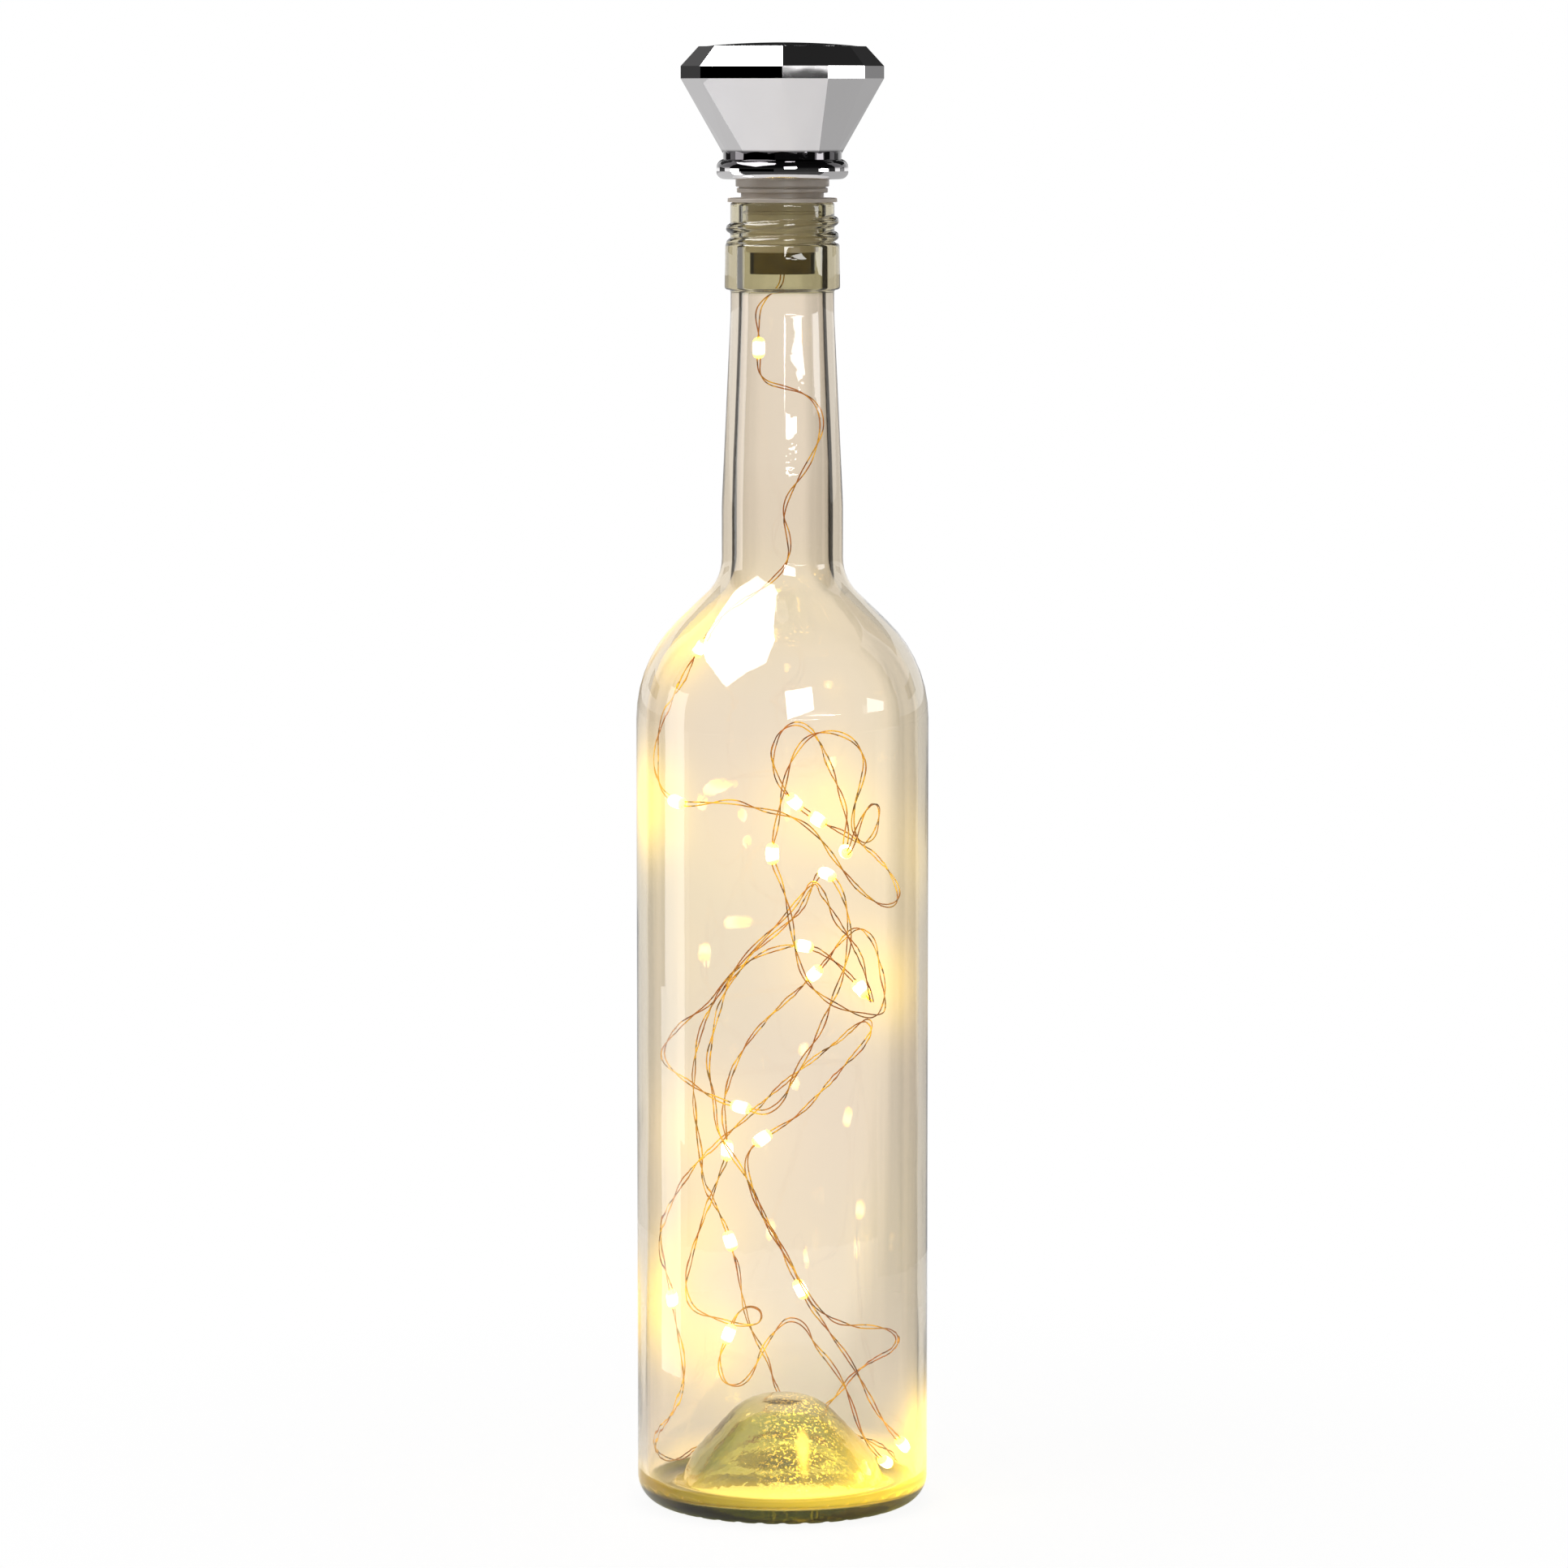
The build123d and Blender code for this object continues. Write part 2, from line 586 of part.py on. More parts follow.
def make_crown_cap():
    flange_top = girdle_bottom + cap_flange
    ceiling = table_height - cap_top_wall
    band = faceted(gem_ring(girdle_radius, girdle_bottom), gem_ring(girdle_radius, girdle_top))
    crown = faceted(gem_ring(girdle_radius, girdle_top), gem_ring(table_radius, table_height))
    hollow_radius = girdle_radius - shell_wall
    hollow = faceted(gem_ring(hollow_radius, flange_top), gem_ring(hollow_radius, girdle_top))
    upper_hollow = faceted(gem_ring(hollow_radius, girdle_top), gem_ring(table_radius - shell_wall, ceiling))
    skirt = disc(cap_skirt_radius, girdle_bottom - cap_skirt_depth, girdle_bottom)
    cap = band + crown + skirt - hollow - upper_hollow
    cap -= disc(cap_skirt_radius - cap_skirt_wall, girdle_bottom - cap_skirt_depth, flange_top)
    cap -= disc(window_radius, ceiling, table_height)
    return cap - disc(lens_radius + fit_gap, lens_seat, table_height)


def make_panel_lens():
    edge_top = lens_bottom + lens_edge
    dome_radius = (lens_radius**2 + lens_rise**2) / (2 * lens_rise)
    dome = Pos(0, 0, edge_top + lens_rise - dome_radius) * Sphere(dome_radius)
    return disc(lens_radius, lens_bottom, edge_top + lens_rise) & dome


def make_lens_seal():
    return disc(lens_radius, lens_seat, lens_bottom) - disc(window_radius, lens_seat, lens_bottom)


def make_panel_board():
    return disc(window_radius - fit_gap, panel_top - panel_thickness, panel_top)


def make_solar_cell():
    return Pos(0, 0, panel_top + cell_thickness / 2) * Box(cell_side, cell_side, cell_thickness)


def make_cell_tabs():
    height = panel_top + cell_thickness + tab_thickness / 2
    tab = Box(tab_width, cell_side, tab_thickness)
    return Compound([Pos(side * tab_spacing / 2, 0, height) * tab for side in (-1, 1)])


def make_battery_tube():
    tube = disc(tube_radius, tube_end, tube_top)
    tube += disc(tube_flange_radius, floor_top, floor_top + tube_flange)
    tube -= disc(tube_bore_radius, tube_end, tube_top)
    for place in tube_screw_places():
        tube -= disc(screw_shank_radius, floor_top, floor_top + tube_flange, place)
    return tube


def board_screw_places():
    return three_around(board_radius() - post_setback, front_angle)


def tube_screw_places():
    return three_around(tube_screw_circle, back_angle)


def screw(place, seat, length):
    """Pan-head screw standing on its seat."""
    head = disc(screw_head_radius, seat, seat + screw_head, place)
    head = fillet(head.edges().group_by(Axis.Z)[-1], screw_head / 2)
    return head + disc(screw_shank_radius, seat - length, seat, place)


def make_tube_screws():
    seat = floor_top + tube_flange
    return Compound([screw(place, seat, tube_screw_length) for place in tube_screw_places()])


def make_board_screws():
    return Compound([screw(place, board_top, board_screw_length) for place in board_screw_places()])


def make_tube_end_cap():
    bottom = tube_end + end_cap_recess
    cap = disc(tube_bore_radius, bottom, bottom + end_cap_thickness)
    return cap - disc(gland_radius, bottom, bottom + end_cap_thickness)


def make_wire_gland():
    gland = disc(gland_radius, tube_end, tube_end + gland_length)
    return fillet(gland.edges().group_by(Axis.Z)[0], end_cap_recess / 2)


def make_cell_carrier():
    carrier = disc(carrier_radius, carrier_bottom, carrier_top)
    carrier -= disc(carrier_bore_radius, carrier_floor_top, carrier_top)
    channel_length = tube_radius - channel_start
    channel = Box(channel_length, channel_width, carrier_top - carrier_bottom)
    middle = (carrier_bottom + carrier_top) / 2
    for side in (-1, 1):
        carrier -= Pos(side * (channel_start + channel_length / 2), 0, middle) * channel
    return carrier


def make_battery():
    can = disc(battery_radius, battery_bottom, battery_top)
    return can + disc(battery_nub_radius, battery_top, upper_contact_bottom)


def make_battery_wrap():
    bottom, top = battery_bottom + wrap_margin, battery_top - wrap_margin
    return disc(battery_radius + wrap_thickness, bottom, top) - disc(battery_radius, bottom, top)


def make_lower_contact():
    plate = disc(contact_radius, carrier_floor_top, lower_contact_top)
    tab_length = feed_reach + lead_radius
    tab = Box(tab_length, contact_tab_width, contact_thickness)
    return plate + Pos(-tab_length / 2, 0, lower_contact_top - contact_thickness / 2) * tab


def make_upper_contact():
    return disc(contact_radius, upper_contact_bottom, upper_contact_top)


def spring_points():
    low = lower_contact_top + spring_wire_radius
    high = battery_bottom - spring_wire_radius
    pitch = (high - low) / spring_turns
    mean_radius = battery_radius - spring_setback
    return helix_points(mean_radius, pitch, 0, full_turn * spring_turns, spring_steps, low, 0)


def make_contact_spring():
    points = spring_points()
    spring, path = tube_along(points, spring_wire_radius)
    report_tube("contact spring", points, spring_wire_radius, spring, path)
    print("contact spring least gap", round(least_self_gap(points, spring_wire_radius), 2))
    return spring


def make_battery_cap():
    cap_radius = tube_radius + battery_cap_rim
    cap = disc(cap_radius, tube_top, battery_cap_top)
    cap -= disc(contact_radius + fit_gap, tube_top, upper_contact_top)
    slot_length = cap_radius - channel_start
    slot = Box(slot_length, channel_width, battery_cap_thickness)
    for side in (-1, 1):
        x = side * (channel_start + slot_length / 2)
        cap -= Pos(x, 0, (tube_top + battery_cap_top) / 2) * slot
    return cap - disc(lead_radius + fit_gap, tube_top, battery_cap_top)


def make_circuit_board():
    board = disc(board_radius(), board_bottom, board_top)
    for place in board_screw_places():
        board -= disc(screw_shank_radius, board_bottom, board_top, place)
    return board


def make_driver_chip():
    width, depth, height = driver_size
    leg_width, leg_depth, leg_height = driver_leg_size
    chip = Pos(0, 0, board_top + leg_height + height / 2) * Box(width, depth, height)
    leg = Pos(0, 0, board_top + leg_height / 2) * Box(leg_width, leg_depth, leg_height)
    for k in (-1.5, -0.5, 0.5, 1.5):
        chip += Pos(k * driver_leg_spacing, 0, 0) * leg
    return chip


def make_inductor():
    place = Pos(0, board_radius() / 3, board_top + inductor_radius)
    coil = Cylinder(inductor_radius, inductor_length, rotation=(0, 90, 0))
    return place * fillet(coil.edges(), inductor_radius / 3)


def make_capacitor():
    place = (0, -board_radius() / 3)
    can = disc(capacitor_radius, board_top, board_top + capacitor_height, place)
    return fillet(can.edges().group_by(Axis.Z)[-1], capacitor_radius / 5)


def make_plug_sleeve():
    rib_radius = bore_radius - sleeve_clearance
    flange_radius = finish_radius + flange_overhang
    lower_rib_radius = waist_radius + lower_rib_proud
    notch_radius = waist_radius + notch_proud
    upper_rib_radius = waist_radius + upper_rib_proud
    sleeve_bottom = mouth_height - sleeve_reach
    rib_pitch = sleeve_reach / (bore_rib_count + 1)
    soft = lower_rib_height / 4
    hard = notch_height / 4
    table = [
        (0, sleeve_bottom, None),
        (sleeve_core_radius - sleeve_tip_taper, sleeve_bottom, soft),
        (sleeve_core_radius, sleeve_bottom + rib_pitch / 2, soft),
    ]
    for k in range(bore_rib_count):
        low = sleeve_bottom + rib_pitch * (k + 1) - bore_rib_height / 2
        table += [
            (sleeve_core_radius, low, hard),
            (rib_radius, low + bore_rib_height / 3, hard),
            (rib_radius, low + bore_rib_height * 2 / 3, hard),
            (sleeve_core_radius, low + bore_rib_height, hard),
        ]
    table += [
        (sleeve_core_radius, flange_bottom, hard),
        (flange_radius, flange_bottom, hard),
        (flange_radius, flange_top, soft),
        (waist_radius, flange_top, soft),
        (waist_radius, waist_top, hard),
        (lower_rib_radius, waist_top, soft),
        (lower_rib_radius, lower_rib_top, soft),
        (notch_radius, lower_rib_top, hard),
        (notch_radius, notch_top, hard),
        (upper_rib_radius, notch_top, soft),
        (upper_rib_radius, ring_bottom, hard),
        (0, ring_bottom, None),
    ]
    corners = [(radius, height) for radius, height, rounding in table]
    sleeve = spun(corners, [rounding for radius, height, rounding in table[1:-1]])
    return sleeve - disc(tube_radius, sleeve_bottom, ring_bottom)


def feed_points(side):
    """Route of one feed wire, from the gland up its channel to the board."""
    start = tube_end + gland_length
    y = side * feed_spacing
    return [
        (0, y, start),
        (0, y, start + feed_drop),
        (feed_reach, y, start + feed_drop),
        (feed_reach, y, board_bottom),
    ]


def make_feed_wires():
    tubes = []
    for side in (-1, 1):
        points = feed_points(side)
        tube, path = tube_along(points, lead_radius)
        report_tube("feed wire", points, lead_radius, tube, path)
        tubes.append(tube)
    return Compound(tubes)


def make_battery_leads():
    negative = disc(lead_radius, lower_contact_top, board_bottom, (-feed_reach, 0))
    return Compound([negative, disc(lead_radius, upper_contact_top, board_bottom)])


def make_panel_leads():
    top = panel_top - panel_thickness
    span = top - board_top
    reach = board_radius() / 3 + inductor_radius + panel_lead_gap
    tubes = []
    for side in (-1, 1):
        x = side * panel_lead_spread
        points = [
            (x, reach, top),
            (x, reach, top - span / 4),
            (x + side * panel_lead_bow, reach + panel_lead_bow, (top + board_top) / 2),
            (x, reach, board_top + span / 4),
            (x, reach, board_top),
        ]
        tube, path = tube_along(points, lead_radius)
        tubes.append(tube)
    return Compound(tubes)


def make_switch_leads():
    plane = switch_plane()
    depth = -(wall_depth() + fit_gap + switch_body_size[2] / 2)
    edge = switch_body_size[1] / 2
    tubes = []
    for side in (-1, 1):
        start = plane.from_local_coords(Vector(side * switch_lead_spread, edge, depth))
        corner = plane.from_local_coords(Vector(side * switch_lead_spread, edge + switch_lead_stub, depth))
        end = (corner.X, corner.Y, board_bottom)
        tube, path = tube_along([tuple(start), tuple(corner), end], lead_radius)
        tubes.append(tube)
    return Compound(tubes)


def lamp_places():
    """Plane at each lamp of the bottle's string, midway on a joining run."""
    planes = []
    for row, following in zip(string_rows, string_rows[1:]):
        planes.append(run_plane(row[-1], following[0]))
    return planes


def run_plane(start, end):
    """Plane midway on a run, with its Z along the wire."""
    first, second = Vector(*start), Vector(*end)
    return Plane(origin=(first + second) / 2, z_dir=second - first)


def lamp_drop():
    """Clear drop of resin about the wire, along Z."""
    half = drop_length / 2
    side = ThreePointArc((drop_tip_radius, 0, -half), (drop_radius, 0, 0), (drop_tip_radius, 0, half))
    rest = Polyline(side @ 1, (0, 0, half), (0, 0, -half), side @ 0)
    drop = revolve(make_face(Wire([side, *rest.edges()])), Axis.Z)
    ends = drop.edges().group_by(Axis.Z)
    return fillet(ends[0] + ends[-1], drop_tip_radius / 3) - lamp_chip()


def lamp_chip():
    """Light chip that sits on the wire inside the drop."""
    length, width, height = chip_size
    return Pos(wire_radius + chip_lift + height / 2, 0, 0) * Box(height, width, length)


def make_light_lead():
    tube, path = tube_along(lead_points, wire_radius)
    report_tube("light lead", lead_points, wire_radius, tube, path)
    return tube


def make_light_string():
    points = [point for row in string_rows for point in row]
    tube, path = tube_along(points, wire_radius)
    report_tube("light string", points, wire_radius, tube, path)
    return tube


def first_lamp():
    return run_plane(lead_points[-2], lead_points[-1])


pieces = {
    "bottle": make_bottle,
    "plug_sleeve": make_plug_sleeve,
    "head_shell": make_head_shell,
    "crown_cap": make_crown_cap,
    "panel_lens": make_panel_lens,
    "lens_seal": make_lens_seal,
    "solar_cell": make_solar_cell,
    "cell_tabs": make_cell_tabs,
    "panel_board": make_panel_board,
    "battery_tube": make_battery_tube,
    "tube_screws": make_tube_screws,
    "tube_end_cap": make_tube_end_cap,
    "wire_gland": make_wire_gland,
    "cell_carrier": make_cell_carrier,
    "battery": make_battery,
    "battery_wrap": make_battery_wrap,
    "lower_contact": make_lower_contact,
    "upper_contact": make_upper_contact,
    "contact_spring": make_contact_spring,
    "battery_cap": make_battery_cap,
    "circuit_board": make_circuit_board,
    "board_screws": make_board_screws,
    "driver_chip": make_driver_chip,
    "inductor": make_inductor,
    "capacitor": make_capacitor,
    "switch_body": make_switch_body,
    "switch_knob": make_switch_knob,
    "feed_wires": make_feed_wires,
    "battery_leads": make_battery_leads,
    "panel_leads": make_panel_leads,
    "switch_leads": make_switch_leads,
    "light_lead": make_light_lead,
    "light_string": make_light_string,
    "first_lamp_drop": lambda: first_lamp() * lamp_drop(),
    "first_lamp_chip": lambda: first_lamp() * lamp_chip(),
    "lamp_drops": lambda: Compound([place * lamp_drop() for place in lamp_places()]),
    "lamp_chips": lambda: Compound([place * lamp_chip() for place in lamp_places()]),
}

os.makedirs("parts", exist_ok=True)
for name, make in pieces.items():
    export_step(make(), f"parts/{name}.step")
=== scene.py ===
import math

import bmesh
import bpy
from mathutils import Matrix, Vector, noise


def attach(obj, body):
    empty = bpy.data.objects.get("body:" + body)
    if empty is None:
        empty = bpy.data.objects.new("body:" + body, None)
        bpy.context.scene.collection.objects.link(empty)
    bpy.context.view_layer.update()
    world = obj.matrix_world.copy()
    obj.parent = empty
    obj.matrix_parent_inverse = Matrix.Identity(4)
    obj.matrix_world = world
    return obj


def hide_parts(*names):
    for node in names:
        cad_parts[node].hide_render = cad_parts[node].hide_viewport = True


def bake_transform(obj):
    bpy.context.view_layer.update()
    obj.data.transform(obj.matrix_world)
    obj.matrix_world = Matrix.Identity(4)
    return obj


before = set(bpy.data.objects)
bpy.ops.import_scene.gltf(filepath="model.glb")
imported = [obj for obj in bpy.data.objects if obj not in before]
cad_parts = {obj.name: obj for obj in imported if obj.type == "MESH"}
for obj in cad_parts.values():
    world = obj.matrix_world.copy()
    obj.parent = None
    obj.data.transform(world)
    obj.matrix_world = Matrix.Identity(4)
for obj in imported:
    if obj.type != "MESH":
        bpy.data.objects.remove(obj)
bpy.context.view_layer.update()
scene = bpy.context.scene

# The camera stands 1.67 m in front of the bottle at the height of the stopper, and looks a little
# down. Its long lens keeps the sides of the bottle almost parallel.
camera_place = (0.0004, -1.67, 0.355)
camera_tilt = 84.08
camera_lens = 154.06
nearest_seen = 0.05

camera_data = bpy.data.cameras.new("camera")
camera_data.lens = camera_lens
camera_data.clip_start = nearest_seen
camera = bpy.data.objects.new("camera", camera_data)
camera.location = camera_place
camera.rotation_euler = (math.radians(camera_tilt), 0, 0)
scene.collection.objects.link(camera)
scene.camera = camera

# Light wire: two fine enamelled copper strands, twisted loosely together in one length of 1.8 m.
# It is soldered in the stopper, leaves it by the gland, and coils through the bottle as it was
# pushed in.
wire_rows = [
    [(0, 0, 0.3092), (0, 0, 0.3069), (-0.0022, -0.0003, 0.3049), (-0.0042, -0.0008, 0.3033),
     (-0.0063, -0.001, 0.3002), (-0.0059, 0, 0.2938), (-0.0059, 0, 0.2875)],
    [(-0.0059, 0, 0.2875), (-0.0059, 0, 0.2845), (-0.004, 0.0015, 0.282), (0, 0.002, 0.281),
     (0.0055, 0.0015, 0.2795), (0.009, 0, 0.2765), (0.01, -0.0015, 0.272),
     (0.0085, -0.002, 0.2665), (0.0055, -0.001, 0.26), (0.0015, 0.0005, 0.254),
     (0, 0.0015, 0.249), (0.0015, 0.002, 0.2445), (0.002, 0.0015, 0.239),
     (-0.0015, 0.002, 0.2335), (-0.0075, 0.005, 0.2285), (-0.0145, 0.008, 0.224),
     (-0.0195, 0.0105, 0.2185)],
    [(-0.0225, 0.0115, 0.2135), (-0.026, 0.01, 0.2065), (-0.031, 0.007, 0.1975),
     (-0.0325, 0.003, 0.19), (-0.031, -0.004, 0.1825), (-0.0275, -0.0085, 0.179)],
    [(-0.0245, -0.0115, 0.178), (-0.0195, -0.014, 0.1785), (-0.012, -0.0165, 0.1795),
     (-0.006, -0.0175, 0.1775), (0.002, -0.018, 0.176), (0.008, -0.017, 0.172),
     (0.0135, -0.014, 0.1635), (0.0195, -0.01, 0.1555), (0.026, -0.005, 0.151),
     (0.03, 0.001, 0.153), (0.028, 0.007, 0.1585), (0.0225, 0.012, 0.164), (0.0155, 0.016, 0.168),
     (0.0105, 0.018, 0.17)],
    [(0.0075, 0.019, 0.172), (0.0045, 0.0185, 0.174)],
    [(0.0015, 0.0175, 0.177), (-0.0015, 0.0155, 0.1815), (-0.003, 0.013, 0.1875),
     (-0.001, 0.011, 0.194), (0.004, 0.01, 0.197), (0.009, 0.0095, 0.193), (0.012, 0.008, 0.1855),
     (0.0145, 0.004, 0.1795), (0.0165, 0, 0.173), (0.0155, -0.0035, 0.166)],
    [(0.0158, -0.0075, 0.165), (0.017, -0.0105, 0.167), (0.0183, -0.0115, 0.1715),
     (0.0203, -0.01, 0.176), (0.0223, -0.008, 0.178), (0.024, -0.0055, 0.177),
     (0.024, -0.004, 0.1735), (0.023, -0.0048, 0.1698), (0.021, -0.008, 0.168),
     (0.0195, -0.0125, 0.168), (0.017, -0.016, 0.172), (0.0175, -0.0165, 0.1785),
     (0.0195, -0.0155, 0.184), (0.0205, -0.014, 0.1895), (0.0175, -0.013, 0.1945),
     (0.012, -0.0125, 0.1965), (0.0065, -0.013, 0.1955), (0.0025, -0.014, 0.1905),
     (0.0005, -0.015, 0.184), (-0.001, -0.0155, 0.1755), (-0.0025, -0.015, 0.168)],
    [(-0.0025, -0.015, 0.164), (0, -0.0155, 0.1585), (0.002, -0.017, 0.1505),
     (0.003, -0.018, 0.1425), (0.0055, -0.0185, 0.1345), (0.0115, -0.017, 0.129),
     (0.0185, -0.013, 0.1255), (0.0245, -0.007, 0.124), (0.026, -0.001, 0.128),
     (0.025, 0.004, 0.135), (0.0235, 0.008, 0.1415), (0.0195, 0.011, 0.145),
     (0.015, 0.014, 0.141), (0.0105, 0.0165, 0.134)],
    [(0.0065, 0.0185, 0.13), (0.001, 0.02, 0.1245), (-0.007, 0.02, 0.117),
     (-0.0125, 0.018, 0.1085), (-0.015, 0.015, 0.1), (-0.015, 0.013, 0.0945),
     (-0.014, 0.0115, 0.09)],
    [(-0.014, 0.01, 0.0855), (-0.0165, 0.01, 0.0805), (-0.0195, 0.008, 0.0725),
     (-0.0225, 0.005, 0.064), (-0.025, 0.002, 0.055), (-0.023, -0.002, 0.049),
     (-0.0165, -0.006, 0.0475), (-0.0105, -0.008, 0.046), (-0.0055, -0.011, 0.047),
     (-0.005, -0.0145, 0.051), (-0.008, -0.0175, 0.053), (-0.011, -0.0185, 0.0515),
     (-0.0125, -0.019, 0.048)],
    [(-0.014, -0.019, 0.044), (-0.0155, -0.0185, 0.0405), (-0.0155, -0.018, 0.0365),
     (-0.014, -0.0175, 0.0328), (-0.01, -0.0175, 0.0326), (-0.007, -0.018, 0.0365),
     (-0.005, -0.018, 0.042), (-0.0015, -0.0175, 0.047), (0.0015, -0.017, 0.0497),
     (0.0055, -0.0165, 0.0482), (0.008, -0.016, 0.0425), (0.0125, -0.016, 0.0375),
     (0.0165, -0.015, 0.03), (0.0195, -0.013, 0.019), (0.024, -0.01, 0.013)],
    [(0.027, -0.006, 0.01), (0.0295, 0.002, 0.0095), (0.028, 0.014, 0.01), (0.02, 0.025, 0.0115),
     (0.0085, 0.0305, 0.012), (-0.004, 0.0305, 0.0115), (-0.0155, 0.026, 0.011),
     (-0.0225, 0.02, 0.0095), (-0.0265, 0.013, 0.0075), (-0.0295, 0.0075, 0.0085),
     (-0.0325, 0.004, 0.011), (-0.033, 0.0025, 0.015), (-0.031, 0.0045, 0.018),
     (-0.028, 0.007, 0.0205), (-0.025, 0.01, 0.0285), (-0.026, 0.01, 0.038),
     (-0.028, 0.009, 0.047)],
    [(-0.0285, 0.0075, 0.053), (-0.031, 0.005, 0.06), (-0.0315, 0.004, 0.0685),
     (-0.028, 0.006, 0.076), (-0.0235, 0.0095, 0.083), (-0.0165, 0.014, 0.089),
     (-0.008, 0.018, 0.096), (0, 0.0205, 0.103), (0.0075, 0.0215, 0.109), (0.0155, 0.02, 0.115),
     (0.0215, 0.016, 0.121), (0.0235, 0.011, 0.1185), (0.0195, 0.0075, 0.1135),
     (0.015, 0.004, 0.1095), (0.0095, -0.004, 0.1045), (0.004, -0.0095, 0.0995),
     (-0.003, -0.0115, 0.0955)],
    [(-0.0075, -0.0125, 0.0925), (-0.0095, -0.013, 0.088), (-0.007, -0.0135, 0.08),
     (-0.0035, -0.0135, 0.0725), (0.001, -0.0135, 0.065), (0.0055, -0.0135, 0.056),
     (0.01, -0.0125, 0.0495), (0.0165, -0.006, 0.0455), (0.0235, -0.001, 0.0445),
     (0.0295, 0.005, 0.042), (0.0295, 0.009, 0.037), (0.024, 0.012, 0.034),
     (0.018, 0.014, 0.0295), (0.013, 0.016, 0.022), (0.0075, 0.02, 0.018),
     (0.0015, 0.023, 0.0195), (-0.002, 0.022, 0.0245), (-0.0035, 0.02, 0.032),
     (-0.008, 0.018, 0.0395), (-0.0105, 0.016, 0.0485), (-0.0115, 0.0155, 0.057),
     (-0.013, 0.016, 0.0615)],
    [(-0.014, 0.016, 0.0655), (-0.0155, 0.017, 0.069), (-0.0185, 0.019, 0.074),
     (-0.021, 0.02, 0.079), (-0.021, 0.018, 0.0855), (-0.0225, 0.014, 0.096),
     (-0.023, 0.01, 0.1065), (-0.0215, 0.008, 0.117), (-0.018, 0.008, 0.1255),
     (-0.012, 0.01, 0.1335), (-0.005, 0.012, 0.138), (0.003, 0.012, 0.14)],
    [(0.0085, 0.012, 0.139), (0.0135, 0.0125, 0.1355), (0.0185, 0.0135, 0.1305)],
    [(0.0215, 0.012, 0.127), (0.023, 0.0085, 0.1255), (0.0225, 0.0045, 0.127),
     (0.0215, 0.003, 0.1315), (0.02, 0.0035, 0.137), (0.0175, 0.0025, 0.142),
     (0.0135, 0.003, 0.147), (0.0105, 0, 0.1535), (0.008, -0.005, 0.1585), (0.0055, -0.01, 0.156),
     (0.0005, -0.0115, 0.1495), (-0.0065, -0.012, 0.143), (-0.0125, -0.012, 0.136),
     (-0.0175, -0.011, 0.128), (-0.0235, -0.008, 0.124), (-0.0275, -0.005, 0.1195),
     (-0.03, -0.0035, 0.1155), (-0.0295, -0.0035, 0.112), (-0.026, -0.0065, 0.1095),
     (-0.0185, -0.011, 0.105), (-0.0125, -0.014, 0.103)],
    [(-0.008, -0.0155, 0.102), (-0.004, -0.016, 0.101), (0.0005, -0.0165, 0.1045),
     (0.003, -0.017, 0.1115), (0.0085, -0.0165, 0.12), (0.012, -0.014, 0.1285),
     (0.0155, -0.01, 0.1365), (0.017, -0.0065, 0.145), (0.0155, -0.004, 0.154),
     (0.0125, -0.0025, 0.159)],
    [(0.0095, 0.0005, 0.16), (0.0075, 0.005, 0.1555), (0.0045, 0.0085, 0.1485),
     (-0.003, 0.009, 0.142), (-0.01, 0.006, 0.1365), (-0.015, 0.002, 0.1285),
     (-0.0175, -0.001, 0.1195), (-0.019, -0.0035, 0.1115), (-0.017, -0.005, 0.103),
     (-0.0165, -0.006, 0.0955), (-0.013, -0.008, 0.09), (-0.0085, -0.0095, 0.0835),
     (-0.0055, -0.01, 0.075), (-0.001, -0.0095, 0.0675), (0.003, -0.008, 0.0585)],
    [(0.006, -0.008, 0.0525), (0.011, -0.0085, 0.0455), (0.017, -0.01, 0.0375),
     (0.02, -0.01, 0.0315), (0.0245, -0.007, 0.022), (0.029, -0.003, 0.0165)],
    [(0.032, -0.0005, 0.0125)],
]
route_steps = 8
strand_radius = 0.00017
strand_spread = (0.0003, 0.00062)
strand_twist = 0.024
strand_sides = 7
spread_changes = 40
twist_changes = 25
twist_drift = 0.35
copper = (0.45, 0.15, 0.015)
pale_gold = (0.95, 0.56, 0.03)
dark_enamel = (0.08, 0.03, 0.005)


class Signal:
    """An output of a node, with which maths on a material or a shape reads as Python."""

    def __init__(self, recipe, socket):
        self.recipe = recipe
        self.socket = socket

    def __getitem__(self, name):
        return Signal(self.recipe, self.socket.node.outputs[name])

    def __add__(self, other):
        return self.recipe.maths("ADD", self, other)

    def __radd__(self, other):
        return self.recipe.maths("ADD", other, self)

    def __sub__(self, other):
        return self.recipe.maths("SUBTRACT", self, other)

    def __rsub__(self, other):
        return self.recipe.maths("SUBTRACT", other, self)

    def __mul__(self, other):
        return self.recipe.maths("MULTIPLY", self, other)

    def __rmul__(self, other):
        return self.recipe.maths("MULTIPLY", other, self)

    def __truediv__(self, other):
        return self.recipe.maths("DIVIDE", self, other)

    def __pow__(self, other):
        return self.recipe.maths("POWER", self, other)

    def between(self, low, high):
        """0 at low, 1 at high, and a smooth step between them; low may be the larger one."""
        settings = {"interpolation_type": "SMOOTHSTEP"}
        return self.recipe.node("ShaderNodeMapRange", settings, {0: self, 1: low, 2: high})


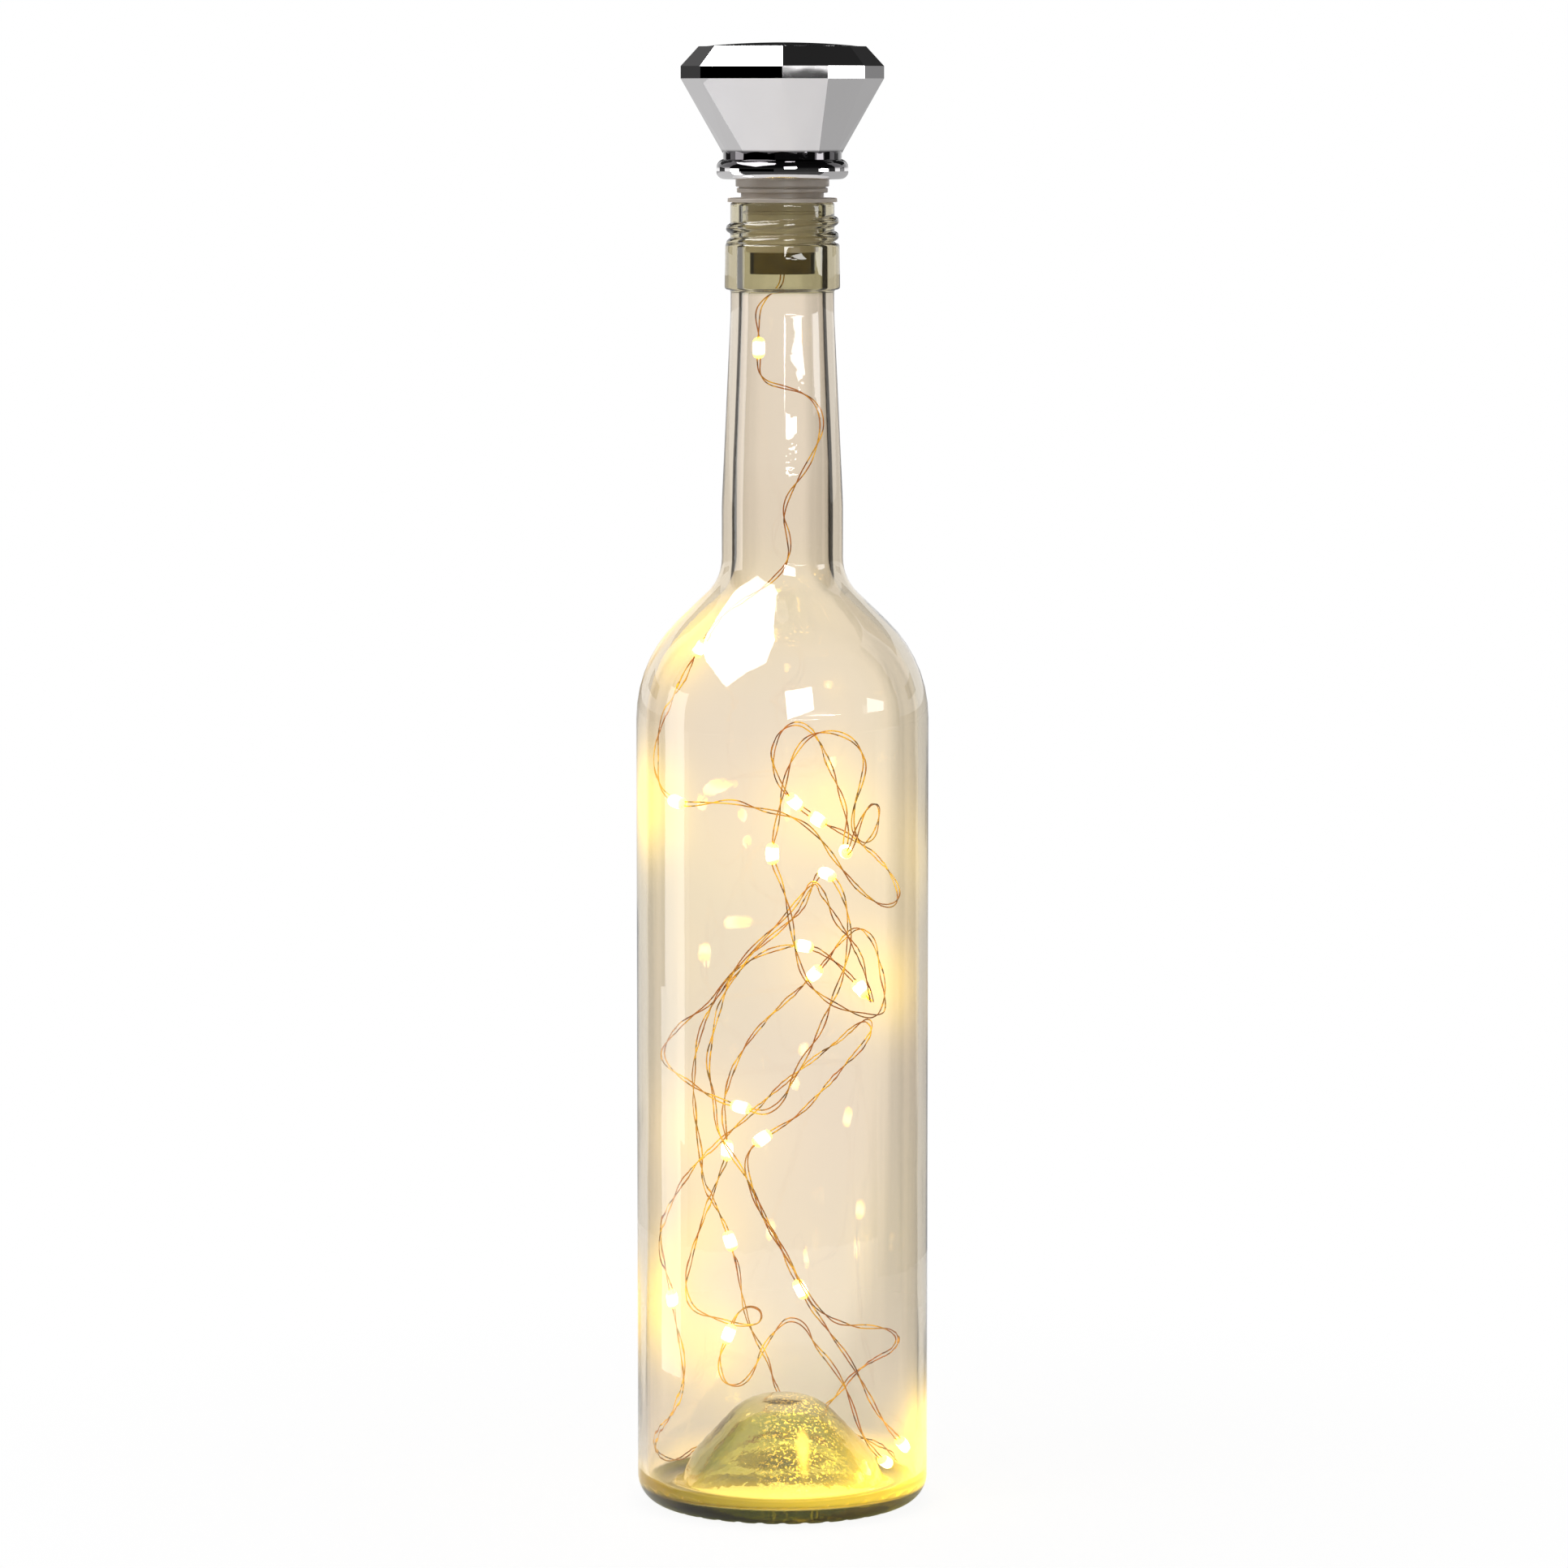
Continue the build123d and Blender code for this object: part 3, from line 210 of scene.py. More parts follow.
class Recipe:
    """The node tree of a material, of a made shape or of the surround."""

    def __init__(self, tree):
        self.tree = tree

    def node(self, kind, settings, sockets):
        """Any node: its settings come first, then the values or links of its sockets."""
        made = self.tree.nodes.new(kind)
        for name, value in settings.items():
            setattr(made, name, value)
        for name, value in sockets.items():
            self.feed(made.inputs[name], value)
        return Signal(self, next(iter(made.outputs), None))

    def feed(self, socket, value):
        if isinstance(value, Signal):
            self.tree.links.new(value.socket, socket)
        elif socket.type == "RGBA":
            socket.default_value = (*value, 1)
        else:
            socket.default_value = value

    def maths(self, operation, *values):
        return self.node("ShaderNodeMath", {"operation": operation}, dict(enumerate(values)))


class Finish(Recipe):
    """A material with one Principled surface; its fixed values are given by name."""

    def __init__(self, name, **values):
        self.material = bpy.data.materials.new(name)
        self.material.use_nodes = True
        super().__init__(self.material.node_tree)
        self.surface = self.tree.nodes["Principled BSDF"]
        self.out = self.tree.nodes["Material Output"]
        self.set(**values)

    def set(self, **values):
        for name, value in values.items():
            self.feed(self.surface.inputs[name.replace("_", " ")], value)

    def show(self, shader):
        """Put another shader in the place of the Principled surface."""
        self.feed(self.out.inputs["Surface"], shader)

    def place(self):
        return self.node("ShaderNodeTexCoord", {}, {})["Object"]

    def scaled(self, factors):
        """The point, drawn out or pressed together along each axis."""
        settings = {"operation": "MULTIPLY"}
        return self.node("ShaderNodeVectorMath", settings, {0: self.place(), 1: factors})

    def length(self, place):
        return self.node("ShaderNodeVectorMath", {"operation": "LENGTH"}, {0: place})["Value"]

    def along(self, axis):
        """The X, Y or Z of the point, in metres."""
        return self.node("ShaderNodeSeparateXYZ", {}, {0: self.place()})[axis]

    def attribute(self, name):
        return self.node("ShaderNodeAttribute", {"attribute_name": name}, {})["Fac"]

    def mix(self, factor, first, second):
        """One colour turning into another, either of them fixed or varying."""
        settings = {"data_type": "RGBA"}
        return self.node("ShaderNodeMix", settings, {0: factor, 6: first, 7: second})[2]

    def mottle(self, scale, detail=2, place=None):
        """Cloudy noise from 0 to 1 in the material, scale patches to the metre."""
        sockets = {"Vector": place or self.place(), "Scale": scale, "Detail": detail}
        return self.node("ShaderNodeTexNoise", {}, sockets)

    def relief(self, height, distance, strength):
        """Small bumps in the surface, from a height of 0 to 1."""
        sockets = {"Height": height, "Distance": distance, "Strength": strength}
        return self.node("ShaderNodeBump", {}, sockets)

    def patchy(self, pattern, first, second, more_rough, least_rough):
        """Two tones in the patches of a pattern, with the second the rougher one."""
        self.set(Base_Color=self.mix(pattern, first, second),
                 Roughness=pattern * more_rough + least_rough)

    def dress(self, *things):
        """Give this finish to pieces, or to CAD nodes by name."""
        for thing in things:
            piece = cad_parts[thing] if isinstance(thing, str) else thing
            if not piece.data.materials:
                piece.data.materials.append(self.material)
            for place in piece.material_slots:
                place.material = self.material


def piece_from(mesh_data, name):
    """A smoothly shaded piece of the object from a finished mesh."""
    mesh_data.name = name
    for face in mesh_data.polygons:
        face.use_smooth = True
    piece = bpy.data.objects.new(name, mesh_data)
    scene.collection.objects.link(piece)
    return piece


def wire_line():
    """Points on the smooth curve that the rows of the route steer."""
    route = bpy.data.curves.new("wire_route", "CURVE")
    route.dimensions = "3D"
    route.resolution_u = route_steps
    line = route.splines.new("NURBS")
    places = [place for row in wire_rows for place in row]
    places = [place for place, before in zip(places, [None] + places) if place != before]
    line.points.add(len(places) - 1)
    for point, place in zip(line.points, places):
        point.co = (*place, 1)
    line.order_u = 3
    line.use_endpoint_u = True
    guide = bpy.data.objects.new("wire_route", route)
    scene.collection.objects.link(guide)
    sampled = bpy.data.meshes.new_from_object(guide)
    points = [vertex.co.copy() for vertex in sampled.vertices]
    bpy.data.objects.remove(guide)
    bpy.data.meshes.remove(sampled)
    return points


def frames_along(points):
    """Direction and one steady sideways direction at each point of a line."""
    frames = []
    side = Vector((1, 0, 0))
    for k in range(len(points)):
        ahead = (points[min(k + 1, len(points) - 1)] - points[max(k - 1, 0)]).normalized()
        side = (side - ahead * side.dot(ahead)).normalized()
        frames.append((ahead, side))
    return frames


def strand_centres(points, strand):
    """Centre line of one strand, which winds round the line, now closer to it and now further."""
    least, most = strand_spread
    centres = []
    run = 0
    before = points[0]
    for point, (ahead, side) in zip(points, frames_along(points)):
        run += (point - before).length
        before = point
        loose = noise.noise(Vector((run * spread_changes, 0.5, 0))) * 0.5 + 0.5
        spread = least + (most - least) * min(max(loose, 0), 1)
        drift = twist_drift * noise.noise(Vector((run * twist_changes, 4, 0)))
        turn = run / strand_twist + drift + strand / 2
        centres.append(point + Matrix.Rotation(turn * math.tau, 3, ahead) @ side * spread)
    return centres


def twisted_pair(points):
    """Two round strands, closed at their ends."""
    mesh = bmesh.new()
    angles = [math.tau * k / strand_sides for k in range(strand_sides)]
    for strand in range(2):
        centres = strand_centres(points, strand)
        rings = []
        for centre, (ahead, side) in zip(centres, frames_along(centres)):
            across = ahead.cross(side)
            spokes = [side * math.cos(angle) + across * math.sin(angle) for angle in angles]
            rings.append([mesh.verts.new(centre + spoke * strand_radius) for spoke in spokes])
        for first, second in zip(rings, rings[1:]):
            for k in range(strand_sides):
                j = (k + 1) % strand_sides
                mesh.faces.new((first[k], first[j], second[j], second[k]))
        mesh.faces.new(list(reversed(rings[0])))
        mesh.faces.new(rings[-1])
    data = bpy.data.meshes.new("wire")
    mesh.to_mesh(data)
    mesh.free()
    return data


wire_points = wire_line()
wire = piece_from(twisted_pair(wire_points), "light_wire")

enamel = Finish("copper_wire", Metallic=0.9, Coat_Weight=0.1, Coat_Roughness=0.1)
tone = enamel.mix(enamel.mottle(160, 3).between(0.42, 0.62), copper, pale_gold)
tone = enamel.mix(enamel.mottle(420, 1).between(0.55, 0.66) * 0.8, tone, dark_enamel)
enamel.set(Base_Color=tone, Roughness=enamel.mottle(700, 1) * 0.25 + 0.2)
enamel.set(Normal=enamel.relief(enamel.mottle(3000, 1), 0.00003, 0.3))
enamel.dress(wire)

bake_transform(wire)
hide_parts("light_lead", "light_string")

# Lamps: each is a tiny light chip soldered between the strands and sealed in a drop of clear
# resin, so no two drops are quite alike. The first hangs in the neck from the stopper.
drop_length = 0.0054
drop_radius = 0.00155
drop_rings = 15
drop_sides = 14
drop_seed = 11
drop_wobble = 90
lamp_heart = (1.0, 0.93, 0.55)
lamp_rim = (1.0, 0.6, 0.03)
lamp_glow = 8.0


def nearest_point(first, second):
    """Index of the wire's point next to the middle of two places."""
    middle = (Vector(first) + Vector(second)) / 2
    return min(range(len(wire_points)), key=lambda k: (wire_points[k] - middle).length)


def wire_stretch(centre):
    """The stretch of wire that a drop encloses; past the wire's end it runs straight on."""
    stretch = [wire_points[centre]]
    for step in (-1, 1):
        left = drop_length / 2
        k = centre
        while left > 0 and 0 <= k + step < len(wire_points):
            here, there = wire_points[k], wire_points[k + step]
            run = (there - here).length
            place = here.lerp(there, min(1, left / run))
            stretch = [place] + stretch if step < 0 else stretch + [place]
            left -= run
            k += step
        if left > 0 and step > 0:
            ahead = (stretch[-1] - stretch[-2]).normalized()
            stretch.append(stretch[-1] + ahead * left)
    return stretch


def drop_tree(material):
    """Swells a stretch of wire into a drop of resin: round in the middle, uneven, with closed
    ends. The heart of the drop is 1 in the middle and 0 at the ends."""
    tree = bpy.data.node_groups.new("resin_drop", "GeometryNodeTree")
    for name, way, kind in (("Geometry", "INPUT", "NodeSocketGeometry"),
                            ("Radius", "INPUT", "NodeSocketFloat"),
                            ("Rings", "INPUT", "NodeSocketInt"),
                            ("Sides", "INPUT", "NodeSocketInt"),
                            ("Seed", "INPUT", "NodeSocketInt"),
                            ("Geometry", "OUTPUT", "NodeSocketGeometry")):
        tree.interface.new_socket(name, in_out=way, socket_type=kind)
    shape = Recipe(tree)
    given = shape.node("NodeGroupInput", {}, {})
    line = shape.node("GeometryNodeMeshToCurve", {}, {"Mesh": given["Geometry"]})
    line = shape.node("GeometryNodeResampleCurve", {}, {"Curve": line, "Count": given["Rings"]})
    middle = shape.node("GeometryNodeSplineParameter", {}, {})["Factor"] * 2 - 1
    belly = (1.02 - middle * middle * middle * middle) ** 0.5
    lean = shape.node("ShaderNodeTexNoise", {"noise_dimensions": "4D"},
                      {"Scale": drop_wobble, "Detail": 1, "W": given["Seed"] * 0.37})
    swell = belly * (lean * 0.5 + 0.72)
    profile = shape.node("GeometryNodeCurvePrimitiveCircle", {},
                         {"Resolution": given["Sides"], "Radius": given["Radius"]})
    line = shape.node("GeometryNodeStoreNamedAttribute", {"data_type": "FLOAT", "domain": "POINT"},
                      {"Geometry": line, "Name": "heart", "Value": 1 - middle * middle})
    body = shape.node("GeometryNodeCurveToMesh", {},
                      {"Curve": line, "Profile Curve": profile, "Scale": swell, "Fill Caps": True})
    body = shape.node("GeometryNodeSetShadeSmooth", {}, {"Geometry": body, "Shade Smooth": True})
    body = shape.node("GeometryNodeRealizeInstances", {}, {"Geometry": body})
    body = shape.node("GeometryNodeSetMaterial", {}, {"Geometry": body, "Material": material})
    shape.node("NodeGroupOutput", {}, {"Geometry": body})
    return tree


def grown(name, stretches, tree, values):
    """A plain mesh from lines that a tree of shape nodes turns into pieces."""
    lines = bpy.data.meshes.new(name)
    places, edges = [], []
    for stretch in stretches:
        edges += [(len(places) + k, len(places) + k + 1) for k in range(len(stretch) - 1)]
        places += stretch
    lines.from_pydata(places, edges, [])
    holder = bpy.data.objects.new(name, lines)
    scene.collection.objects.link(holder)
    modifier = holder.modifiers.new("shape", "NODES")
    modifier.node_group = tree
    for item in tree.interface.items_tree:
        if item.name in values:
            modifier[item.identifier] = values[item.name]
    ready = holder.evaluated_get(bpy.context.evaluated_depsgraph_get())
    made = bpy.data.meshes.new_from_object(ready)
    bpy.data.objects.remove(holder)
    return made


resin = Finish("lamp_resin", Roughness=0.12, Coat_Weight=0.6, Emission_Strength=lamp_glow)
blotch = resin.attribute("heart") * (0.75 + resin.mottle(900, 1) * 0.5)
resin.set(Base_Color=resin.mix(blotch, (1, 0.8, 0.4), (1, 0.95, 0.8)))
resin.set(Emission_Color=resin.mix(blotch.between(0.5, 1.05), lamp_rim, lamp_heart))

first_lamp = nearest_point(wire_rows[0][-1], wire_rows[0][-2])
other_lamps = [nearest_point(row[-1], following[0])
               for row, following in zip(wire_rows[1:], wire_rows[2:])]
drop_shape = drop_tree(resin.material)
drop_values = {"Radius": drop_radius, "Rings": drop_rings, "Sides": drop_sides, "Seed": drop_seed}
for name, places, node, body in (
    ("lamp_drops_in_bottle", other_lamps, "lamp_drops", "bottle"),
    ("first_lamp_in_neck", [first_lamp], "first_lamp_drop", "stopper"),
):
    stretches = [wire_stretch(place) for place in places]
    drops = piece_from(grown(name, stretches, drop_shape, drop_values), name)
    resin.dress(drops)
    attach(drops, body)
    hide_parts(node)

phosphor = Finish("lamp_phosphor", Roughness=0.5, Emission_Strength=lamp_glow)
grain = phosphor.mottle(9000, 1)
phosphor.set(Base_Color=phosphor.mix(grain, (1, 0.75, 0.25), (1, 0.9, 0.5)))
phosphor.set(Emission_Color=phosphor.mix(grain, (1, 0.8, 0.4), lamp_heart))
phosphor.dress("lamp_chips", "first_lamp_chip")

# Bottle: clear soda glass blown in a mould, green where it is thick, with a pushed-up base, small
# feet round the bearing ring and a screw finish. The dome in the base is a little rough and
# seedy. The glass also carries painted light: a warm colour and glow painted round each lamp, for
# the lamps' light that it scatters, a painted pool of yellow light in the gutter by the heel, and
# a painted streak of light with painted glints in the dome.
bottle_sides = 360
row_step = 0.0035
arc_step = math.radians(7)
finish_step = 0.00022
finish_level = 0.3163
finish_wall = 0.0125
thread_pitch = 0.0037
thread_ridge = 0.00115
thread_centre = 0.01285
thread_buried = 0.0116
thread_level = 0.3204
thread_turn = (-200, 400, 180, 30)
knurl_count = 36
knurl_groove = 0.0017
knurl_depth = 0.0007
knurl_start = 0.028
knurl_top = 0.0072
# How far the painted glow round each lamp reaches in the glass.
painted_glow_radius = 0.0125
# Shape and place of the painted streak of light in the dome.
painted_streak_stretch = (1.5, 0.6, 0.28)
painted_streak_centre = (0.0075, -0.0105, 0.0048)
outer_corners = [
    (0, 0.023, 0), (0.0076, 0.023, 0.011), (0.0196, 0.0094, 0.012), (0.0248, 0, 0.0015),
    (0.0365, 0, 0.007), (0.0365, 0.2128, 0.0337), (0.0151, 0.2335, 0.0121),
    (0.0151, 0.252, 0.06), (0.01285, 0.3, 0.06), (0.01285, 0.3053, 0.0007),
    (0.01435, 0.3053, 0.0007), (0.0142, 0.3167, 0.0007), (0.01295, 0.3167, 0.0007),
    (0.01295, 0.3269, 0.0008),
]
inner_corners = [
    (0.01, 0.3269, 0.0005), (0.01, 0.303, 0.06), (0.0115, 0.262, 0.06),
    (0.0115, 0.233362, 0.0147), (0.0341, 0.211504, 0.0311), (0.0341, 0.0045, 0.0045),
    (0.0263, 0.0045, 0.0025), (0.0225, 0.0125, 0.012), (0.009, 0.027, 0.015), (0, 0.027, 0),
]


def rounded(corners):
    """The outline through these corners, each given by radius, height and rounding, with an arc
    at each and short steps on the straights."""
    line = [Vector(corners[0][:2])]
    for before, corner, after in zip(corners, corners[1:], corners[2:]):
        here = Vector(corner[:2])
        back = (Vector(before[:2]) - here).normalized()
        ahead = (Vector(after[:2]) - here).normalized()
        opening = back.angle(ahead)
        reach = corner[2] / math.tan(opening / 2)
        middle = here + (back + ahead).normalized() * corner[2] / math.sin(opening / 2)
        start, end = here + back * reach - middle, here + ahead * reach - middle
        turn = start.angle_signed(end)
        steps = max(3, math.ceil(abs(turn) / arc_step))
        for k in range(steps + 1):
            spoke = start.copy()
            spoke.rotate(Matrix.Rotation(-turn * k / steps, 2))
            line.append(middle + spoke)
    line.append(Vector(corners[-1][:2]))
    stepped = [line[0]]
    for first, second in zip(line, line[1:]):
        on_finish = (min(first.y, second.y) > finish_level
                     and min(first.x, second.x) > finish_wall)
        step = finish_step if on_finish else row_step
        parts = max(1, math.ceil((second - first).length / step - 0.01))
        stepped += [first.lerp(second, k / parts) for k in range(1, parts + 1)]
    return stepped


def thread_radius(angle, height):
    """How far the thread's ridge reaches out at this angle and height, or 0 off the ridge."""
    start, end, level_angle, fade = thread_turn
    reach = 0
    for turn in (-360, 0, 360):
        along = angle + turn
        if not start - fade < along < end + fade:
            continue
        past = max(start - along, along - end, 0) / fade
        centre = thread_centre + (thread_buried - thread_centre) * past
        level = thread_level + thread_pitch * (min(max(along, start), end) - level_angle) / 360
        if abs(height - level) < thread_ridge:
            reach = max(reach, centre + math.sqrt(thread_ridge ** 2 - (height - level) ** 2))
    return reach


def groove_height(angle, radius):
    """Height of the glass over a knurl's groove at this angle, or 0 between the grooves."""
    off = (angle + 180 / knurl_count) % (360 / knurl_count) - 180 / knurl_count
    aside = radius * math.sin(math.radians(off))
    if radius < knurl_start or abs(aside) >= knurl_groove:
        return 0
    return knurl_depth - knurl_groove + math.sqrt(knurl_groove ** 2 - aside ** 2)


def blown_bottle():
    """The outline spun round the axis, with the thread raised and the grooves pressed in."""
    mesh = bmesh.new()
    rows = []
    for radius, height in rounded(outer_corners + inner_corners):
        if radius < 1e-6:
            rows.append([mesh.verts.new((0, 0, height))])
            continue
        row = []
        for k in range(bottle_sides):
            angle = -180 + 360 * k / bottle_sides
            out, up = radius, height
            if height > finish_level and radius > finish_wall:
                out = max(out, thread_radius(angle, height))
            if height < knurl_top:
                up = max(up, groove_height(angle, radius))
            turned = math.radians(angle)
            row.append(mesh.verts.new((out * math.cos(turned), out * math.sin(turned), up)))
        rows.append(row)
    for first, second in zip(rows, rows[1:]):
        for k in range(bottle_sides):
            j = (k + 1) % bottle_sides
            if len(first) == 1:
                mesh.faces.new((first[0], second[k], second[j]))
            elif len(second) == 1:
                mesh.faces.new((first[k], second[0], first[j]))
            else:
                mesh.faces.new((first[k], second[k], second[j], first[j]))
    bmesh.ops.recalc_face_normals(mesh, faces=mesh.faces)
    data = bpy.data.meshes.new("bottle")
    mesh.to_mesh(data)
    mesh.free()
    return data


bottle = piece_from(blown_bottle(), "glass_bottle")
# Painted glow: each point of the glass is given how near it lies to the lamps, for the warm colour
# and light painted there.
lamps_at = [wire_points[k] for k in other_lamps]
painted_glow = bottle.data.attributes.new("painted_glow", "FLOAT", "POINT")
for vertex, value in zip(bottle.data.vertices, painted_glow.data):
    value.value = sum(math.exp(-((vertex.co - lamp).length / painted_glow_radius) ** 2)
                      for lamp in lamps_at)

glass = Finish("clear_glass", Transmission_Weight=1.0, IOR=1.5)
height = glass.along("Z")
from_axis = glass.length(glass.scaled((1, 1, 0)))
in_neck = height.between(0.225, 0.25)
in_finish = height.between(0.3035, 0.306)
in_dome = height.between(0.029, 0.024) * from_axis.between(0.0265, 0.0235)
in_heel = height.between(0.0058, 0.0044) * from_axis.between(0.026, 0.029)
in_gutter = height.between(0.014, 0.006) * from_axis.between(0.022, 0.026) * (1 - in_heel)
# Where the glass is painted warm and glowing round the lamps: less on the dome, none on the heel.
painted_glow_near_lamps = glass.attribute("painted_glow") * (1 - in_heel) * (1 - in_dome * 0.6)

tint = glass.mix(glass.mottle(14, 1).between(0.3, 0.7), (0.99, 0.93, 0.86), (1, 0.95, 0.84))
tint = glass.mix(in_neck, tint, (0.96, 0.91, 0.85))
tint = glass.mix(in_finish, tint, (0.74, 0.72, 0.57))
tint = glass.mix(in_dome, tint, (0.74, 0.8, 0.44))
tint = glass.mix(in_heel, tint, (0.012, 0.017, 0.001))
# Painted light: the glass's colour turns warm yellow near the lamps.
tint = glass.mix(painted_glow_near_lamps.between(0, 0.8) * 0.7, tint, (1, 0.95, 0.62))
glass.set(Base_Color=tint, Roughness=in_dome * glass.mottle(200, 1) * 0.08)

waves = glass.mottle(28, 1) * 0.7 + glass.mottle(260, 2) * 0.02
ripple = waves + glass.mottle(160, 2, glass.scaled((1, 1, 0.06))) * 0.12
seeds = glass.mottle(420, 2) * in_dome * 0.3
glass.set(Normal=glass.relief(ripple + seeds, 0.0012, 0.25))

# A painted streak of yellow light with painted glints round it, in the dome of the base.
from_painted_streak = glass.node("ShaderNodeVectorMath", {"operation": "DISTANCE"},
                         {0: glass.scaled(painted_streak_stretch), 1: painted_streak_centre})["Value"]
painted_glints = glass.mottle(1300, 1).between(0.6, 0.66) * from_painted_streak.between(0.02, 0.004)
painted_streak = glass.maths("MINIMUM", from_painted_streak.between(0.0032, 0.001) + painted_glints, 1)
# A painted pool of yellow light in the gutter by the heel, brighter towards the right.
painted_gutter_light = in_gutter * (0.25 + glass.along("X").between(-0.04, 0.03) * 0.75)
# The glass's emission is all painted light: the pool in the gutter, the glow round the lamps and
# the streak in the dome.
painted_light = glass.mix(painted_gutter_light, (0, 0, 0), (0.75, 0.52, 0.03))
painted_light = glass.mix(painted_glow_near_lamps, painted_light, (1, 0.68, 0.06))
painted_light = glass.mix(painted_streak * in_dome, painted_light, (2.6, 1.7, 0.25))
glass.set(Emission_Color=painted_light, Emission_Strength=0.6)

soaked = glass.node("ShaderNodeVolumeAbsorption", {}, {"Color": (0.6, 0.43, 0.1), "Density": 50})
glass.feed(glass.out.inputs["Volume"], soaked)
passing = glass.node("ShaderNodeBsdfTransparent", {}, {"Color": (0.9, 0.93, 0.84)})
is_shadow = glass.node("ShaderNodeLightPath", {}, {})["Is Shadow Ray"]
surface = Signal(glass, glass.surface.outputs[0])
glass.show(glass.node("ShaderNodeMixShader", {}, {0: is_shadow, 1: surface, 2: passing}))
glass.dress(bottle)
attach(bottle, "bottle")
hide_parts("bottle")

# Plug sleeve: one moulding of clear silicone, squeezed into the mouth by four thin ribs and
# stopped by a flange on the lip. It is pushed over the battery tube, and is a little cloudy.
silicone = Finish("sleeve_silicone", Transmission_Weight=0.55, IOR=1.41)
silicone.patchy(silicone.mottle(220, 2), (0.7, 0.6, 0.5), (0.86, 0.78, 0.68), 0.2, 0.28)
silicone.set(Normal=silicone.relief(silicone.mottle(1500, 2), 0.00005, 0.3))
silicone.dress("plug_sleeve")

# Head: two mouldings of rigid plastic, plated with bright chrome. The crown cap snaps into the
# lower shell at the girdle, and the shell's ring sits on the sleeve. The ring's plating is painted
# much darker than the rest, a painted reflection of dark surroundings.
chrome = Finish("plated_metal", Metallic=1.0)
smears = chrome.mottle(60, 3)
level = chrome.along("Z")
# The ring's colour is painted dark: a painted reflection of dark surroundings, not the plating's
# own colour.
ring_painted_dark = level.between(0.335, 0.3358) * (1 - level.between(0.3393, 0.3401))
plating = chrome.mix(smears, (0.81, 0.795, 0.8), (0.87, 0.855, 0.86))
chrome.set(Base_Color=chrome.mix(ring_painted_dark, plating, (0.1, 0.095, 0.1)))
chrome.set(Roughness=smears.between(0.35, 0.8) * 0.025 + 0.01)
chrome.set(Normal=chrome.relief(chrome.mottle(170, 1), 0.00004, 0.1))
chrome.dress("head_shell", "crown_cap")

# Solar panel: a smoked lens sealed in the table of the gem, with the cell under it on a small
# board, where thin tinned tabs carry the current off. The cell is dark silicon with fine silver
# fingers.
finger_gap = 0.0018

smoked = Finish("tinted_lens", Transmission_Weight=0.75, IOR=1.49, Coat_Weight=0.5)
smoked.set(Base_Color=smoked.mix(smoked.mottle(40, 2), (0.035, 0.035, 0.04), (0.06, 0.06, 0.066)))
smoked.set(Roughness=smoked.mottle(500, 1) * 0.04 + 0.02)
smoked.dress("panel_lens")

rubber = Finish("black_rubber")
rubber.set(Base_Color=rubber.mix(rubber.mottle(600, 2), (0.02, 0.02, 0.02), (0.05, 0.05, 0.05)))
rubber.set(Roughness=rubber.mottle(900, 1) * 0.2 + 0.6)
rubber.set(Normal=rubber.relief(rubber.mottle(4000, 1), 0.00004, 0.4))
rubber.dress("lens_seal", "wire_gland")

silicon = Finish("dark_cell", Coat_Weight=0.7, Coat_Roughness=0.05)
repeat = silicon.maths("PINGPONG", silicon.along("Y") / finger_gap, 0.5)
finger = (repeat * 2).between(0.9, 0.96)
flakes = silicon.mottle(350, 1)
crystal = silicon.mix(flakes, (0.012, 0.02, 0.07), (0.03, 0.045, 0.12))
silicon.set(Base_Color=silicon.mix(finger, crystal, (0.6, 0.6, 0.58)))
silicon.set(Roughness=flakes * 0.2 + 0.25, Metallic=finger * 0.8)
silicon.dress("solar_cell")

tinned = Finish("tinned_strip", Metallic=1.0)
tinned.patchy(tinned.mottle(1200, 2), (0.6, 0.58, 0.53), (0.78, 0.76, 0.7), 0.25, 0.25)
tinned.dress("cell_tabs", "upper_contact", "lower_contact")

mask = Finish("board_green", Coat_Weight=0.4)
weave = mask.mottle(1400, 1) * 0.5 + mask.mottle(300, 1) * 0.5
mask.patchy(weave, (0.015, 0.13, 0.06), (0.04, 0.24, 0.12), 0.2, 0.3)
mask.dress("panel_board", "circuit_board")

# Battery: a rechargeable cell in its shrunk wrap, held between a spring and a plate in a moulded
# carrier inside a brass tube, whose colour is painted nearly black with lighter gold patches: a
# painted dark reflection with painted glints. The end cap with its rubber gland closes the tube
# below, and three screws hold it in the head.
moulded = Finish("black_plastic")
pores = moulded.mottle(2500, 2)
moulded.patchy(pores, (0.025, 0.025, 0.028), (0.05, 0.05, 0.055), 0.2, 0.4)
moulded.set(Normal=moulded.relief(pores, 0.00004, 0.4))
moulded.dress("tube_end_cap", "cell_carrier", "battery_cap")

# The tube's colour is painted nearly black, a painted dark reflection, with lighter gold patches
# painted for its glints.
brass = Finish("brass_painted_dark", Metallic=1.0)
brass.patchy(brass.mottle(240, 3), (0.05, 0.035, 0.01), (0.2, 0.15, 0.04), 0.12, 0.06)
brass.dress("battery_tube")

steel = Finish("spring_steel", Metallic=1.0)
steel.patchy(steel.mottle(900, 2), (0.5, 0.5, 0.51), (0.68, 0.68, 0.69), 0.2, 0.22)
steel.dress("battery", "contact_spring", "tube_screws", "board_screws")

film = Finish("wrap_green", Coat_Weight=0.5, Coat_Roughness=0.1)
film.patchy(film.mottle(350, 2), (0.06, 0.3, 0.13), (0.12, 0.45, 0.22), 0.2, 0.25)
film.dress("battery_wrap", "inductor")

